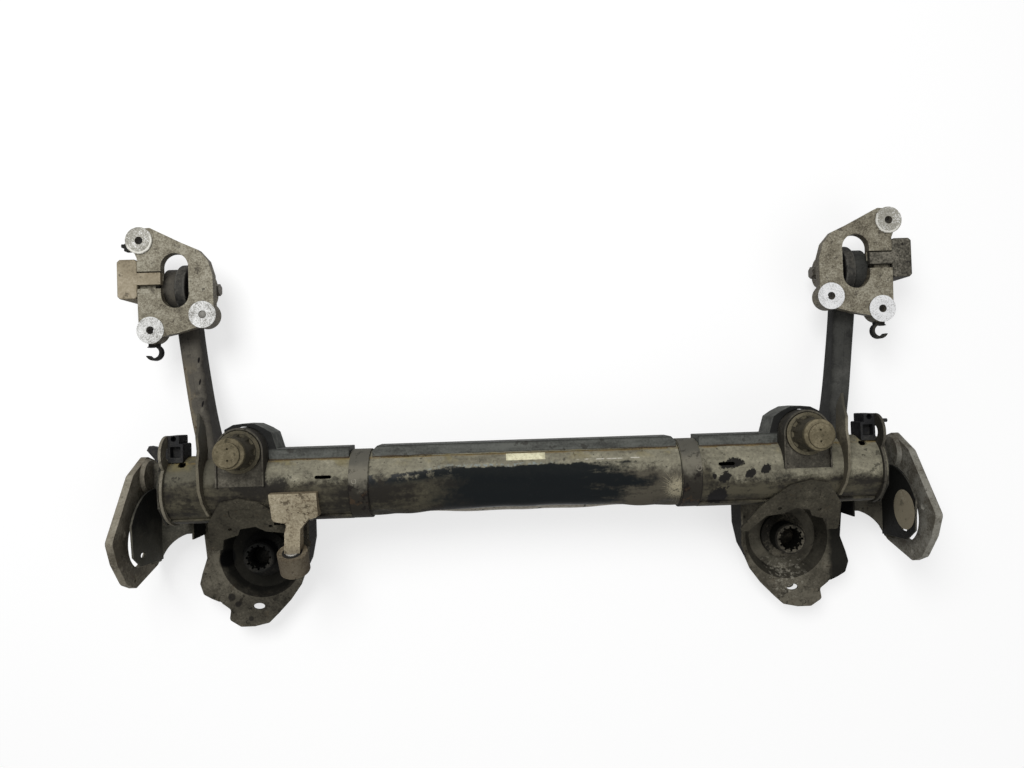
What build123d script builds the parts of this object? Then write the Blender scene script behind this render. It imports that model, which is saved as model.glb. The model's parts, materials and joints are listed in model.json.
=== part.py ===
from build123d import *
from math import cos, radians, sin
import os

# Rear torsion-beam axle. X runs across the vehicle, Y forwards and Z up from the floor it lies on.
# The right-hand pieces are modelled and mirrored to the left. All sizes are millimetres.

# Overall: places along the tube are set back from its ends
seat_gap = 0.15
hub_outset = 87.0
eye_outset = 5.0
wiring_hole_inset = 35.0
arm_inset = 87.0
pan_inset = 138.0
bump_inset = 146.0
rod_lug_inset = 230.0
bolt_clearance = 1.0

# Crushed cross tube and what wraps it
tube_radius = 60.0
tube_wall = 4.0
tube_z = 132.0
tube_end_x = 655.0
crush_end_x = 280.0
crush_flat_x = 90.0
drain_slot_offset = 63.0
drain_slot_length = 30.0
drain_slot_width = 6.0
wiring_hole_length = 14.0
wiring_hole_width = 8.0
collar_offset = 20.0
collar_width = 35.0
collar_thickness = 3.5
shell_sheet = 4.0
shell_top_angle = 150.0
shell_bottom_angle = 272.0
shell_end_gap = 12.0

# Folded channels along the front of the tube
flange_rise = 35.0
flange_front_y = 70.0
channel_sheet = 3.0
channel_depth = 60.0
channel_end_gap = 5.0
channel_corner = 9.0
side_channel_gap = 2.0

# Bump stops and the saddles that carry them
bump_y = 68.0
saddle_radius = 43.0
saddle_sheet = 3.0
saddle_lip = 5.0
saddle_back_y = 6.0
arch_radius = 54.0
arch_width = 10.0
bump_height = 62.0
bump_base_radius = 38.5
bump_neck_radius = 25.0
bump_foot = 7.0
bump_pocket_count = 10
cap_radius = 28.0
cap_height = 13.0
cap_step = 4.0
cap_hole = 1.6

# Trailing arms
arm_front_width = 46.0
arm_root_width = 30.0
arm_front_height = 38.0
arm_root_height = 76.0
arm_sweep = 1.6
arm_wall = 3.5
arm_corner = 11.0
arm_drop = 6.0
arm_root_drop = 5.0
arm_plate_thickness = 5.0
arm_plate_rise = 17.0
arm_plate_back_y = -46.0
arm_plate_front_y = 146.0
arm_plate_lean = 12.0

# Front bushes
eye_y = 380.0
eye_radius = 42.0
eye_wall = 4.5
eye_width = 25.0
lip_radius = 50.0
lip_width = 21.0
lip_gap = 0.4
sleeve_radius = 13.0
sleeve_fit = 0.06
bolt_radius = 7.0

# Cast front brackets
bracket_face_rise = 66.0
bracket_plate = 18.0
boss_radius = 25.5
boss_height = 30.0
boss_step = 2.0
boss_hole_radius = 7.5
boss_a_from_eye = (54.0, 88.0)
boss_b_from_eye = (36.0, -82.0)
boss_c_from_eye = (-62.0, -55.0)
window_width = 52.0
window_length = 104.0
window_from_eye = (-11.0, 11.0)
cheek_gap = 60.0
cheek_thickness = 30.0
cheek_radius = 29.0
bolt_head_flats = 21.0
bolt_head_height = 11.0
bolt_flange_radius = 15.0
bolt_flange_height = 3.0
nut_height = 14.0
keeper_thickness = 38.0
keeper_length = 75.0
keeper_height = 66.0
keeper_gap = 0.4
tongue_width = 23.0
tongue_height = 12.0
tongue_length = 44.0
clip_thickness = 5.0
clip_radius = 13.0
clip_height = 13.0

# Hub plates, end brackets and damper lugs
plate_thickness = 15.0
hub_bore_y = -98.0
hub_bore_z = 104.0
hub_bore_radius = 50.0
hub_bolt_circle = 140.0
hub_bolt_radius = 6.5
hub_bolt_angle = 70.0
pad_radius = 34.0
pad_height = 7.0
pad_y = 20.0
pad_z = 70.0
bracket_sheet = 4.0
floor_plate_z = 58.0
inner_wall_gap = 22.0
inner_wall_top = 186.0
inner_wall_front_y = -4.0
lug_sheet = 5.0
lug_y = 66.0
lug_rise = 34.0
lug_radius = 34.0
lug_hole_radius = 12.0
hose_block_width = 27.0
hose_post = 20.0

# Spring pans, crown plates and spring seats
pan_y = -143.0
pan_z = 47.0
pan_sheet = 3.5
pan_front_y = -12.0
pan_inner_reach = 107.0
pan_outer_reach = 112.0
dish_radius = 86.0
dish_floor_radius = 70.0
dish_depth = 26.0
pan_wall_height = 62.0
rear_reach_y = 281.0
crown_sheet = 3.5
crown_slope = 30.0
seat_ring_radius = 44.0
seat_top_radius = 30.0
seat_bore_radius = 21.0
seat_height = 50.0
seat_teeth = 12

# Cast rod lug, left side only
rod_head_width = 86.0
rod_head_offset = 11.5
rod_head_reach = 68.0
rod_head_thickness = 15.0
rod_shank_width = 28.0
rod_eye_y = -134.0
rod_eye_z = 164.0
rod_eye_radius = 27.0
rod_eye_length = 40.0
rod_eye_tilt = 28.0
rod_bush_radius = 18.0
rod_sleeve_radius = 12.0
rod_sleeve_bore = 6.5
rod_bolt_radius = 5.0
rod_bolt_spread = 24.0

hub_face_x = tube_end_x + hub_outset
eye_x = tube_end_x + eye_outset
arm_root_x = tube_end_x - arm_inset
bump_x = tube_end_x - bump_inset
pan_x = tube_end_x - pan_inset
rod_lug_x = rod_lug_inset - tube_end_x
rod_head_x = rod_lug_x + rod_head_offset
wiring_hole_x = tube_end_x - wiring_hole_inset
collar_x = crush_end_x + collar_offset
drain_slot_x = collar_x + drain_slot_offset
channel_half_length = collar_x - collar_width / 2 - channel_end_gap
boss_a = (eye_x + boss_a_from_eye[0], eye_y + boss_a_from_eye[1])
boss_b = (eye_x + boss_b_from_eye[0], eye_y + boss_b_from_eye[1])
boss_c = (eye_x + boss_c_from_eye[0], eye_y + boss_c_from_eye[1])
window_x = eye_x + window_from_eye[0]
window_y = eye_y + window_from_eye[1]
inner_wall_x = hub_face_x - plate_thickness - inner_wall_gap
crown_z = tube_z + tube_radius
seat_radius = tube_radius + seat_gap
eye_z = lip_radius
bracket_face_z = eye_z + bracket_face_rise
cheek_inner_x = eye_x - cheek_gap / 2
cheek_outer_x = eye_x + cheek_gap / 2

front_reach_y = boss_a[1] + boss_radius
plan_centre_y = (front_reach_y - rear_reach_y) / 2

os.makedirs("parts", exist_ok=True)


def save(piece, name):
    """Name one finished piece, move it so that the plan's centre is the origin, and write it."""
    placed = piece.moved(Location((0, -plan_centre_y, 0)))
    placed.label = name
    export_step(placed, f"parts/{name}.step")


def save_pair(piece, name):
    """Write the right-hand piece and its mirror image on the left."""
    save(piece, f"right_{name}")
    save(mirror(piece, about=Plane.YZ), f"left_{name}")


def rod(radius, x_from, x_to, y=0.0, z=tube_z):
    """A round bar along X, used as a bolt or shaft and as a tool that cuts seats and bores."""
    with BuildPart() as bar:
        with BuildSketch(Plane.YZ.offset(x_from)):
            with Locations((y, z)):
                Circle(radius)
        extrude(amount=x_to - x_from)
    return bar.part


def ring(outer, inner, x_from, x_to, y=0.0, z=tube_z):
    """A round tube along X."""
    with BuildPart() as band:
        add(rod(outer, x_from, x_to, y, z))
        add(rod(inner, x_from, x_to, y, z), mode=Mode.SUBTRACT)
    return band.part


# Cross tube: a round tube whose middle is crushed from the rear, so that it twists but doesn't bend.
# Each pair is the crushed place, in tube radii, of the point that stood at that angle when round.
crushed = {
    0: (0.98, 0.00),
    30: (0.90, 0.50),
    60: (0.56, 0.86),
    90: (0.08, 0.84),
    120: (-0.42, 0.65),
    150: (-0.80, 0.44),
    165: (-0.86, 0.22),
    172: (-0.60, 0.05),
    180: (-0.22, -0.10),
    188: (-0.66, -0.27),
    195: (-0.98, -0.35),
    210: (-1.07, -0.57),
    240: (-0.72, -0.88),
    270: (-0.04, -0.97),
    300: (0.53, -0.83),
    330: (0.88, -0.48),
}


def tube_outline(x, inset):
    """The tube's closed outline at x, inset by a wall, as points about the tube's axis."""
    share = min(1.0, max(0.0, (crush_end_x - abs(x)) / (crush_end_x - crush_flat_x)))
    share = share * share * (3 - 2 * share)
    points = []
    for angle, (across, up) in crushed.items():
        round_y = cos(radians(angle))
        round_z = sin(radians(angle))
        points.append(
            (
                tube_radius * (round_y + share * (across - round_y)),
                tube_radius * (round_z + share * (up - round_z)),
            )
        )
    if inset == 0:
        return points
    outline = Edge.make_spline(points, periodic=True)
    count = 2 * len(points)
    inner = []
    for step in range(count):
        place = outline.position_at(step / count)
        along = outline.tangent_at(step / count)
        inner.append((place.X - inset * along.Y, place.Y + inset * along.X))
    return inner


crush_run = crush_end_x - crush_flat_x
half_sections = [crush_flat_x + crush_run * share for share in (0, 0.25, 0.5, 0.75, 1)]
section_xs = [-x for x in reversed(half_sections)] + [0] + half_sections


def tube_core(inset):
    """The tube's outside, or its hollow when inset by the wall."""
    with BuildPart() as core:
        for x in section_xs:
            with BuildSketch(Plane.YZ.offset(x)):
                with BuildLine():
                    Spline(*[(y, tube_z + z) for y, z in tube_outline(x, inset)], periodic=True)
                make_face()
        loft()
        for side in (-1, 1):
            with BuildSketch(Plane.YZ.offset(side * crush_end_x)):
                with BuildLine():
                    Spline(
                        *[(y, tube_z + z) for y, z in tube_outline(crush_end_x, inset)],
                        periodic=True,
                    )
                make_face()
            extrude(amount=side * (tube_end_x - crush_end_x))
    return core.part


tube_seat = tube_core(-seat_gap)

with BuildPart() as cross_tube:
    add(tube_core(0))
    add(tube_core(tube_wall), mode=Mode.SUBTRACT)
    with BuildSketch(Plane.XY.offset(crown_z)):
        with Locations((-drain_slot_x, 18), (drain_slot_x, 18)):
            SlotOverall(drain_slot_length, drain_slot_width)
        with Locations((-wiring_hole_x, 46), (wiring_hole_x, 46)):
            SlotOverall(wiring_hole_length, wiring_hole_width)
    extrude(amount=-tube_radius, mode=Mode.SUBTRACT)
save(cross_tube.part, "cross_tube")


# Collars: strips wrapped and welded round the tube where its crushed part begins.
with BuildPart() as collar:
    add(
        rod(
            seat_radius + collar_thickness,
            collar_x - collar_width / 2,
            collar_x + collar_width / 2,
        )
    )
    add(tube_seat, mode=Mode.SUBTRACT)
save_pair(collar.part, "collar")


# Tube shells: sheet wrapped round the rear and underside of the tube's outer parts and welded on.
shell_radius = seat_radius + shell_sheet
shell_end_x = tube_end_x - shell_end_gap
with BuildPart() as tube_shell:
    with BuildSketch(Plane.YZ.offset(collar_x + collar_width / 2 + seat_gap)):
        with BuildLine():
            shell_arc = CenterArc(
                (0, tube_z), shell_radius, shell_top_angle, shell_bottom_angle - shell_top_angle
            )
            Line(shell_arc @ 1, (0, tube_z))
            Line((0, tube_z), shell_arc @ 0)
        make_face()
    extrude(amount=shell_end_x - collar_x - collar_width / 2)
    add(tube_seat, mode=Mode.SUBTRACT)
save_pair(tube_shell.part, "tube_shell")

shell_seat = rod(shell_radius + seat_gap, 0, hub_face_x)


# Front channel: a folded C welded along the front of the crushed part, open towards the tube.
flange_z = tube_z + flange_rise
channel_back_y = tube_radius / 2
with BuildPart() as front_channel:
    with BuildSketch(Plane.XY.offset(flange_z)):
        with BuildLine():
            Polyline(
                (-channel_half_length, channel_back_y),
                (channel_half_length, channel_back_y),
                (channel_half_length, flange_front_y - channel_corner),
                (channel_half_length - channel_corner, flange_front_y),
                (channel_corner - channel_half_length, flange_front_y),
                (-channel_half_length, flange_front_y - channel_corner),
                close=True,
            )
        make_face()
    extrude(amount=-channel_depth)
    with BuildSketch(Plane.YZ.offset(-channel_half_length)):
        with Locations((channel_back_y, flange_z - channel_depth / 2)):
            Rectangle(
                2 * (flange_front_y - channel_back_y - channel_sheet),
                channel_depth - 2 * channel_sheet,
            )
    extrude(amount=2 * channel_half_length, mode=Mode.SUBTRACT)
    add(tube_seat, mode=Mode.SUBTRACT)
save(front_channel.part, "front_channel")


# Side channels: the same fold carried on from the collar and swept in an arch round the bump stop.
side_channel_x = collar_x + collar_width / 2 + side_channel_gap
arch_reach = arch_radius - 4
with BuildPart() as side_channel:
    with BuildSketch(Plane.XY.offset(flange_z)) as channel_outline:
        with BuildLine():
            Polyline(
                (side_channel_x, channel_back_y),
                (side_channel_x, flange_front_y),
                (bump_x - arch_radius - 5, flange_front_y),
                (bump_x - arch_radius + 4, bump_y + 32),
                (bump_x - 36, bump_y + arch_reach - 9),
                (bump_x - 19, bump_y + arch_reach - 1),
                (bump_x, bump_y + arch_reach),
                (bump_x + 19, bump_y + arch_reach - 2),
                (bump_x + 38, bump_y + arch_reach - 12),
                (bump_x + 38, channel_back_y),
                close=True,
            )
        make_face()
    extrude(amount=-channel_depth)
    with BuildSketch(Plane.XY.offset(flange_z - channel_sheet)):
        add(channel_outline.sketch.moved(Location((0, 0, -flange_z))))
        offset(amount=-channel_sheet, mode=Mode.REPLACE)
    extrude(amount=-channel_depth, mode=Mode.SUBTRACT)
    with BuildSketch(Plane.XY.offset(flange_z)):
        with Locations((bump_x, bump_y)):
            Circle(arch_radius - arch_width)
        with Locations((bump_x, bump_y / 2)):
            Rectangle(2 * (arch_radius - arch_width), bump_y)
    extrude(amount=-channel_sheet, mode=Mode.SUBTRACT)
    with BuildSketch(Plane.XY.offset(flange_z)):
        with Locations((bump_x + 38, bump_y)):
            Rectangle(2 * channel_sheet, 2 * arch_radius + 20)
    extrude(amount=-channel_depth - 10, mode=Mode.SUBTRACT)
    add(tube_seat, mode=Mode.SUBTRACT)
save_pair(side_channel.part, "side_channel")


# Saddles: pressed horseshoe brackets, open below, that sit over the tube and carry the bump stops.
saddle_back = (bump_y - saddle_back_y) / 2
with BuildPart() as saddle:
    with BuildSketch(Plane.XY.offset(crown_z - saddle_sheet)) as horseshoe:
        with Locations((bump_x, bump_y)):
            Circle(saddle_radius)
        with Locations((bump_x, bump_y - saddle_back)):
            Rectangle(2 * saddle_radius, 2 * saddle_back)
    extrude(amount=-tube_radius)
    with BuildSketch(Plane.XY.offset(crown_z - saddle_sheet)):
        with Locations((bump_x, bump_y)):
            Circle(saddle_radius - saddle_sheet)
        with Locations((bump_x, bump_y - saddle_back - saddle_sheet)):
            Rectangle(2 * (saddle_radius - saddle_sheet), 2 * saddle_back)
    extrude(amount=-tube_radius, mode=Mode.SUBTRACT)
    with BuildSketch(Plane.XY.offset(crown_z - saddle_sheet)):
        add(horseshoe.sketch.moved(Location((0, 0, saddle_sheet - crown_z))))
    extrude(amount=saddle_sheet + saddle_lip)
    with BuildSketch(Plane.XY.offset(crown_z)):
        with Locations((bump_x, bump_y)):
            Circle(saddle_radius - saddle_sheet)
        with Locations((bump_x, bump_y - saddle_back - saddle_sheet)):
            Rectangle(2 * (saddle_radius - saddle_sheet), 2 * saddle_back)
    extrude(amount=saddle_lip, mode=Mode.SUBTRACT)
    add(tube_seat, mode=Mode.SUBTRACT)
save_pair(saddle.part, "saddle")


# Bump stops: a ribbed rubber cone on the saddle, with its moulded cap as a separate piece.
cone_top = bump_height - cap_height
with BuildPart() as bump_stop:
    with BuildSketch(Plane.XZ.offset(-bump_y)):
        with BuildLine():
            Polyline(
                (bump_x, crown_z),
                (bump_x + bump_base_radius, crown_z),
                (bump_x + bump_base_radius, crown_z + bump_foot),
                (bump_x + bump_base_radius - 6, crown_z + bump_foot + 2),
                (bump_x + bump_neck_radius, crown_z + cone_top),
                (bump_x, crown_z + cone_top),
                close=True,
            )
        make_face()
    revolve(axis=Axis((bump_x, bump_y, 0), (0, 0, 1)))
    with BuildSketch(Plane.XY.offset(crown_z + bump_foot + 5)):
        with Locations((bump_x, bump_y)):
            with PolarLocations(bump_base_radius - 5, bump_pocket_count):
                RectangleRounded(12, 11, 3)
    extrude(amount=cone_top - bump_foot - 11, mode=Mode.SUBTRACT)
save_pair(bump_stop.part, "bump_stop")

with BuildPart() as bump_cap:
    with BuildSketch(Plane.XY.offset(crown_z + cone_top)):
        with Locations((bump_x, bump_y)):
            Circle(cap_radius)
    extrude(amount=cap_height - cap_step)
    fillet(bump_cap.edges().filter_by(GeomType.CIRCLE).group_by(Axis.Z)[-1], 2.5)
    with BuildSketch(Plane.XY.offset(crown_z + bump_height - cap_step)):
        with Locations((bump_x + 1.5, bump_y - 1.5)):
            Circle(cap_radius - 6)
    extrude(amount=cap_step)
    fillet(bump_cap.edges().filter_by(GeomType.CIRCLE).group_by(Axis.Z)[-1], 1.5)
    with BuildSketch(Plane.XY.offset(crown_z + bump_height)):
        with Locations((bump_x, bump_y - 11), (bump_x, bump_y + 9)):
            Circle(cap_hole)
    extrude(amount=-cap_step, mode=Mode.SUBTRACT)
save_pair(bump_cap.part, "bump_cap")


# Trailing arms: two pressed half shells welded along the middle of their top and bottom.
arm_front_y = eye_y - 28
arm_back_y = tube_radius / 2
arm_front_x = eye_x - 9
arm_shares = (0.0, 0.17, 0.38, 0.60, 0.81, 1.0)


def arm_station(share):
    """Centre, width and height of the arm at a share of its run from the bush to the tube."""
    lift = share * share * (3 - 2 * share) * share**0.7
    y = arm_front_y + (arm_back_y - arm_front_y) * share
    x = arm_root_x + (arm_front_x - arm_root_x) * (1 - share**arm_sweep)
    z = eye_z - arm_drop + (tube_z - arm_root_drop - eye_z + arm_drop) * lift
    width = arm_front_width + (arm_root_width - arm_front_width) * share
    height = arm_front_height + (arm_root_height - arm_front_height) * share**1.4
    return x, y, z, width, height


def arm_box(inset, x_low=-1.0, x_high=1.0):
    """The arm's box between two shares of its half width, inset by the sheet."""
    with BuildPart() as box:
        for share in arm_shares:
            x, y, z, width, height = arm_station(share)
            half = width / 2 - inset
            low = x + x_low * half
            high = x + x_high * half
            with BuildSketch(Plane(origin=((low + high) / 2, y, z), x_dir=(1, 0, 0), z_dir=(0, 1, 0))):
                if high - low > 1.9 * half:
                    RectangleRounded(high - low, height - 2 * inset, arm_corner - inset)
                else:
                    Rectangle(high - low, height - 2 * inset)
        loft()
    return box.part


eye_seat = rod(eye_radius + seat_gap, eye_x - 2 * eye_width, eye_x + 2 * eye_width, eye_y, eye_z)
eye_face_x = eye_x - 2.0
lip_space = rod(
    lip_radius + 1.5,
    eye_face_x - 2 * lip_width,
    eye_face_x + lip_gap,
    eye_y,
    eye_z,
)

with BuildPart() as arm_outer_shell:
    add(arm_box(0))
    add(arm_box(arm_wall), mode=Mode.SUBTRACT)
    add(arm_box(-6, 0.008, 1.0), mode=Mode.INTERSECT)
    add(tube_seat, mode=Mode.SUBTRACT)
    add(eye_seat, mode=Mode.SUBTRACT)
    add(lip_space, mode=Mode.SUBTRACT)
save_pair(arm_outer_shell.part, "arm_outer_shell")

with BuildPart() as arm_inner_shell:
    add(arm_box(0))
    add(arm_box(arm_wall), mode=Mode.SUBTRACT)
    add(arm_box(-6, -1.0, 0.0), mode=Mode.INTERSECT)
    add(tube_seat, mode=Mode.SUBTRACT)
    with BuildSketch(Plane.XY.offset(crown_z)):
        with Locations((bump_x, 0)):
            Rectangle(2 * (saddle_radius + seat_gap), 2 * (bump_y + saddle_radius))
    extrude(amount=-2 * tube_radius, mode=Mode.SUBTRACT)
    add(eye_seat, mode=Mode.SUBTRACT)
    add(lip_space, mode=Mode.SUBTRACT)
save_pair(arm_inner_shell.part.solids().sort_by(SortBy.VOLUME)[-1], "arm_inner_shell")


# Arm side plates: the outer wall carried on over the tube as an upright web, bent a little inwards.
plate_line = (
    (arm_root_x + 3 * arm_plate_lean, arm_plate_front_y),
    (arm_root_x + 2 * arm_plate_lean, arm_plate_front_y - 28),
    (arm_root_x + arm_plate_lean, tube_radius + 12),
    (arm_root_x + arm_plate_lean / 2, 0),
    (arm_root_x, arm_plate_back_y),
)
with BuildPart() as arm_side_plate:
    with BuildSketch(Plane.XY.offset(tube_z)):
        with BuildLine():
            Polyline(
                *plate_line,
                *[(x + arm_plate_thickness, y) for x, y in reversed(plate_line)],
                close=True,
            )
        make_face()
    extrude(amount=2 * tube_radius)
    with BuildSketch(Plane.YZ.offset(arm_root_x)):
        with BuildLine():
            Polyline(
                (arm_plate_back_y, tube_z),
                (arm_plate_back_y, crown_z - 10),
                (arm_plate_back_y + 24, crown_z + arm_plate_rise * 0.6),
                (4, crown_z + arm_plate_rise),
                (46, crown_z + arm_plate_rise * 0.7),
                (arm_plate_front_y - 50, tube_z + 48),
                (arm_plate_front_y, tube_z - 8),
                (arm_plate_front_y, tube_z - 20),
                close=True,
            )
        make_face()
    extrude(amount=60, mode=Mode.INTERSECT)
    add(tube_seat, mode=Mode.SUBTRACT)
    add(arm_box(-seat_gap), mode=Mode.SUBTRACT)
save_pair(arm_side_plate.part, "arm_side_plate")


# Front eyes: the steel ring at the end of each arm, its rubber bush with one wide lip, and the sleeve.
rubber_bore = sleeve_radius + sleeve_fit
with BuildPart() as eye_ring:
    add(ring(eye_radius, eye_radius - eye_wall, eye_face_x, eye_face_x + eye_width, eye_y, eye_z))
    fillet(eye_ring.edges().filter_by(GeomType.CIRCLE).group_by(Axis.X)[-1], 1.2)
save_pair(eye_ring.part, "eye_ring")

with BuildPart() as bush_rubber:
    add(
        rod(
            eye_radius - eye_wall - seat_gap,
            eye_face_x - lip_gap,
            eye_face_x + eye_width + 1,
            eye_y,
            eye_z,
        )
    )
    add(rod(lip_radius, eye_face_x - lip_gap - lip_width, eye_face_x - lip_gap, eye_y, eye_z))
    fillet(bush_rubber.edges().filter_by(GeomType.CIRCLE).group_by(SortBy.RADIUS)[-1], 6)
    add(
        rod(rubber_bore, eye_face_x - 2 * lip_width, eye_face_x + 2 * eye_width, eye_y, eye_z),
        mode=Mode.SUBTRACT,
    )
save_pair(bush_rubber.part, "bush_rubber")

with BuildPart() as bush_sleeve:
    add(
        ring(
            sleeve_radius,
            bolt_radius + bolt_clearance / 2,
            cheek_inner_x + seat_gap,
            cheek_outer_x - seat_gap,
            eye_y,
            eye_z,
        )
    )
save_pair(bush_sleeve.part, "bush_sleeve")


# Cast brackets: a light-alloy plate with three bosses, a window over the bush and two bolt cheeks.
plate_top_z = bracket_face_z - boss_step
keeper_y = eye_y + 16
with BuildPart() as front_bracket:
    with BuildSketch(Plane.XY.offset(plate_top_z)):
        with BuildLine():
            Polyline(
                (boss_a[0] + 17, boss_a[1] - 4),
                (boss_a[0] - 4, boss_a[1] + 23),
                (boss_a[0] - 20, boss_a[1] + 24),
                (boss_a[0] - 79, boss_a[1] - 6),
                (boss_c[0] + 6, boss_a[1] - 20),
                (boss_c[0] - 12, boss_a[1] - 41),
                (boss_c[0] - 20, eye_y + 20),
                (boss_c[0] - 21, boss_c[1] + 12),
                (boss_c[0] + 6, boss_c[1] - 22),
                (boss_c[0] + 44, boss_c[1] - 33),
                (boss_b[0] - 34, boss_b[1] - 10),
                (boss_b[0] + 10, boss_b[1] - 20),
                (boss_b[0] + 22, boss_b[1] + 8),
                (boss_b[0] + 23, eye_y - 30),
                (boss_b[0] + 23, keeper_y + keeper_length / 2 + 1),
                close=True,
            )
        make_face()
    extrude(amount=-bracket_plate)
    for boss_x, boss_y in (boss_a, boss_b, boss_c):
        with BuildSketch(Plane.XY.offset(bracket_face_z)):
            with Locations((boss_x, boss_y)):
                Circle(boss_radius)
        extrude(amount=-boss_height)
    for cheek_x in (cheek_inner_x - cheek_thickness, cheek_outer_x):
        with BuildSketch(Plane.YZ.offset(cheek_x)):
            with BuildLine():
                Polyline(
                    (eye_y - 44, plate_top_z - bracket_plate / 2),
                    (eye_y - cheek_radius + 3, eye_z - 8),
                    (eye_y + cheek_radius - 3, eye_z - 8),
                    (eye_y + 48, plate_top_z - bracket_plate / 2),
                    close=True,
                )
            make_face()
            with Locations((eye_y, eye_z)):
                Circle(cheek_radius)
        extrude(amount=cheek_thickness)
    with BuildSketch(Plane.XY.offset(bracket_face_z)):
        with Locations((window_x, window_y)):
            SlotOverall(window_length, window_width, rotation=90)
    extrude(amount=-boss_height, mode=Mode.SUBTRACT)
    add(
        rod(lip_radius + 3, cheek_inner_x, cheek_outer_x, eye_y, eye_z),
        mode=Mode.SUBTRACT,
    )
    with BuildSketch(Plane.XY.offset(plate_top_z)):
        with Locations((cheek_outer_x + 8, eye_y + 13)):
            Rectangle(100, tongue_width + 10)
    extrude(amount=-tongue_height - keeper_gap, mode=Mode.SUBTRACT)
    with BuildSketch(Plane.XY.offset(bracket_face_z)):
        with Locations(boss_a, boss_b, boss_c):
            Circle(boss_hole_radius)
    extrude(amount=-boss_height, mode=Mode.SUBTRACT)
    add(
        rod(bolt_radius + bolt_clearance / 2, eye_x - 100, eye_x + 100, eye_y, eye_z),
        mode=Mode.SUBTRACT,
    )
save_pair(front_bracket.part, "front_bracket")


# Pivot bolts: a flanged hexagon head inboard, the shank through the sleeve and a nut in the keeper.
bracket_inner_x = cheek_inner_x - cheek_thickness
bracket_outer_x = cheek_outer_x + cheek_thickness
nut_x = bracket_outer_x + keeper_gap
with BuildPart() as pivot_bolt:
    add(rod(bolt_radius, bracket_inner_x - seat_gap, nut_x + nut_height + 4, eye_y, eye_z))
    add(
        rod(
            bolt_flange_radius,
            bracket_inner_x - seat_gap - bolt_flange_height,
            bracket_inner_x - seat_gap,
            eye_y,
            eye_z,
        )
    )
    with BuildSketch(Plane.YZ.offset(bracket_inner_x - seat_gap - bolt_flange_height)):
        with Locations((eye_y, eye_z)):
            RegularPolygon(bolt_head_flats / 2, 6, major_radius=False)
    extrude(amount=-bolt_head_height)
save_pair(pivot_bolt.part, "pivot_bolt")

with BuildPart() as pivot_nut:
    with BuildSketch(Plane.YZ.offset(nut_x)):
        with Locations((eye_y, eye_z)):
            RegularPolygon(bolt_head_flats / 2, 6, major_radius=False)
            Circle(bolt_radius + sleeve_fit, mode=Mode.SUBTRACT)
    extrude(amount=nut_height)
save_pair(pivot_nut.part, "pivot_nut")


# Nut keepers: a block that holds the nut from turning, hooked into the bracket by a flat tongue.
keeper_top = plate_top_z - 2
with BuildPart() as nut_keeper:
    with BuildSketch(Plane.XY.offset(keeper_top)):
        with Locations((nut_x + keeper_thickness / 2, keeper_y)):
            Rectangle(keeper_thickness, keeper_length)
    extrude(amount=-keeper_height - 12)
    chamfer(nut_keeper.edges().filter_by(Axis.Z), 5)
    chamfer(nut_keeper.faces().sort_by(Axis.Z)[-1].edges(), 1.5)
    with BuildSketch(Plane.XY.offset(keeper_top)):
        with Locations((nut_x - tongue_length / 2 + 4, keeper_y)):
            Rectangle(tongue_length + 8, tongue_width)
    extrude(amount=-tongue_height + 2)
    with BuildSketch(Plane.YZ.offset(nut_x)):
        with Locations((eye_y, eye_z)):
            RegularPolygon(bolt_head_flats / 2 + 0.3, 6, major_radius=False)
    extrude(amount=nut_height + 1, mode=Mode.SUBTRACT)
    add(rod(bolt_radius + bolt_clearance, nut_x, nut_x + nut_height + 12, eye_y, eye_z), mode=Mode.SUBTRACT)
save_pair(nut_keeper.part, "nut_keeper")


# Hose hooks: a bent strap below the rear outer boss of each bracket.
hook_z = bracket_face_z - boss_height + clip_height
hook_x = boss_b[0] + 2
hook_y = boss_b[1] - boss_radius - clip_radius - clip_thickness / 2
with BuildPart() as hose_hook:
    with BuildSketch(Plane.XY.offset(hook_z)):
        with Locations((hook_x, hook_y)):
            Circle(clip_radius + clip_thickness / 2)
            Circle(clip_radius - clip_thickness / 2, mode=Mode.SUBTRACT)
        with Locations((hook_x + clip_radius, hook_y + 2)):
            Rectangle(1.4 * clip_radius, 1.2 * clip_radius, mode=Mode.SUBTRACT)
        with Locations((hook_x, hook_y + clip_radius + clip_thickness / 2)):
            Rectangle(1.4 * clip_radius, clip_thickness)
        with Locations(boss_b):
            Circle(boss_radius + seat_gap, mode=Mode.SUBTRACT)
    extrude(amount=-clip_height)
save_pair(hose_hook.part, "hose_hook")

with BuildPart() as edge_clip:
    with BuildSketch(Plane.XY.offset(hook_z)):
        with Locations((-boss_a[0] - boss_radius - 5, boss_a[1] - 9)):
            RectangleRounded(10, 15, 2)
        with Locations((-boss_a[0] - boss_radius - 11, boss_a[1] - 6)):
            RectangleRounded(9, 7, 2)
        with Locations((-boss_a[0], boss_a[1])):
            Circle(boss_radius + seat_gap, mode=Mode.SUBTRACT)
    extrude(amount=-clip_height)
save(edge_clip.part, "left_edge_clip")


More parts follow.
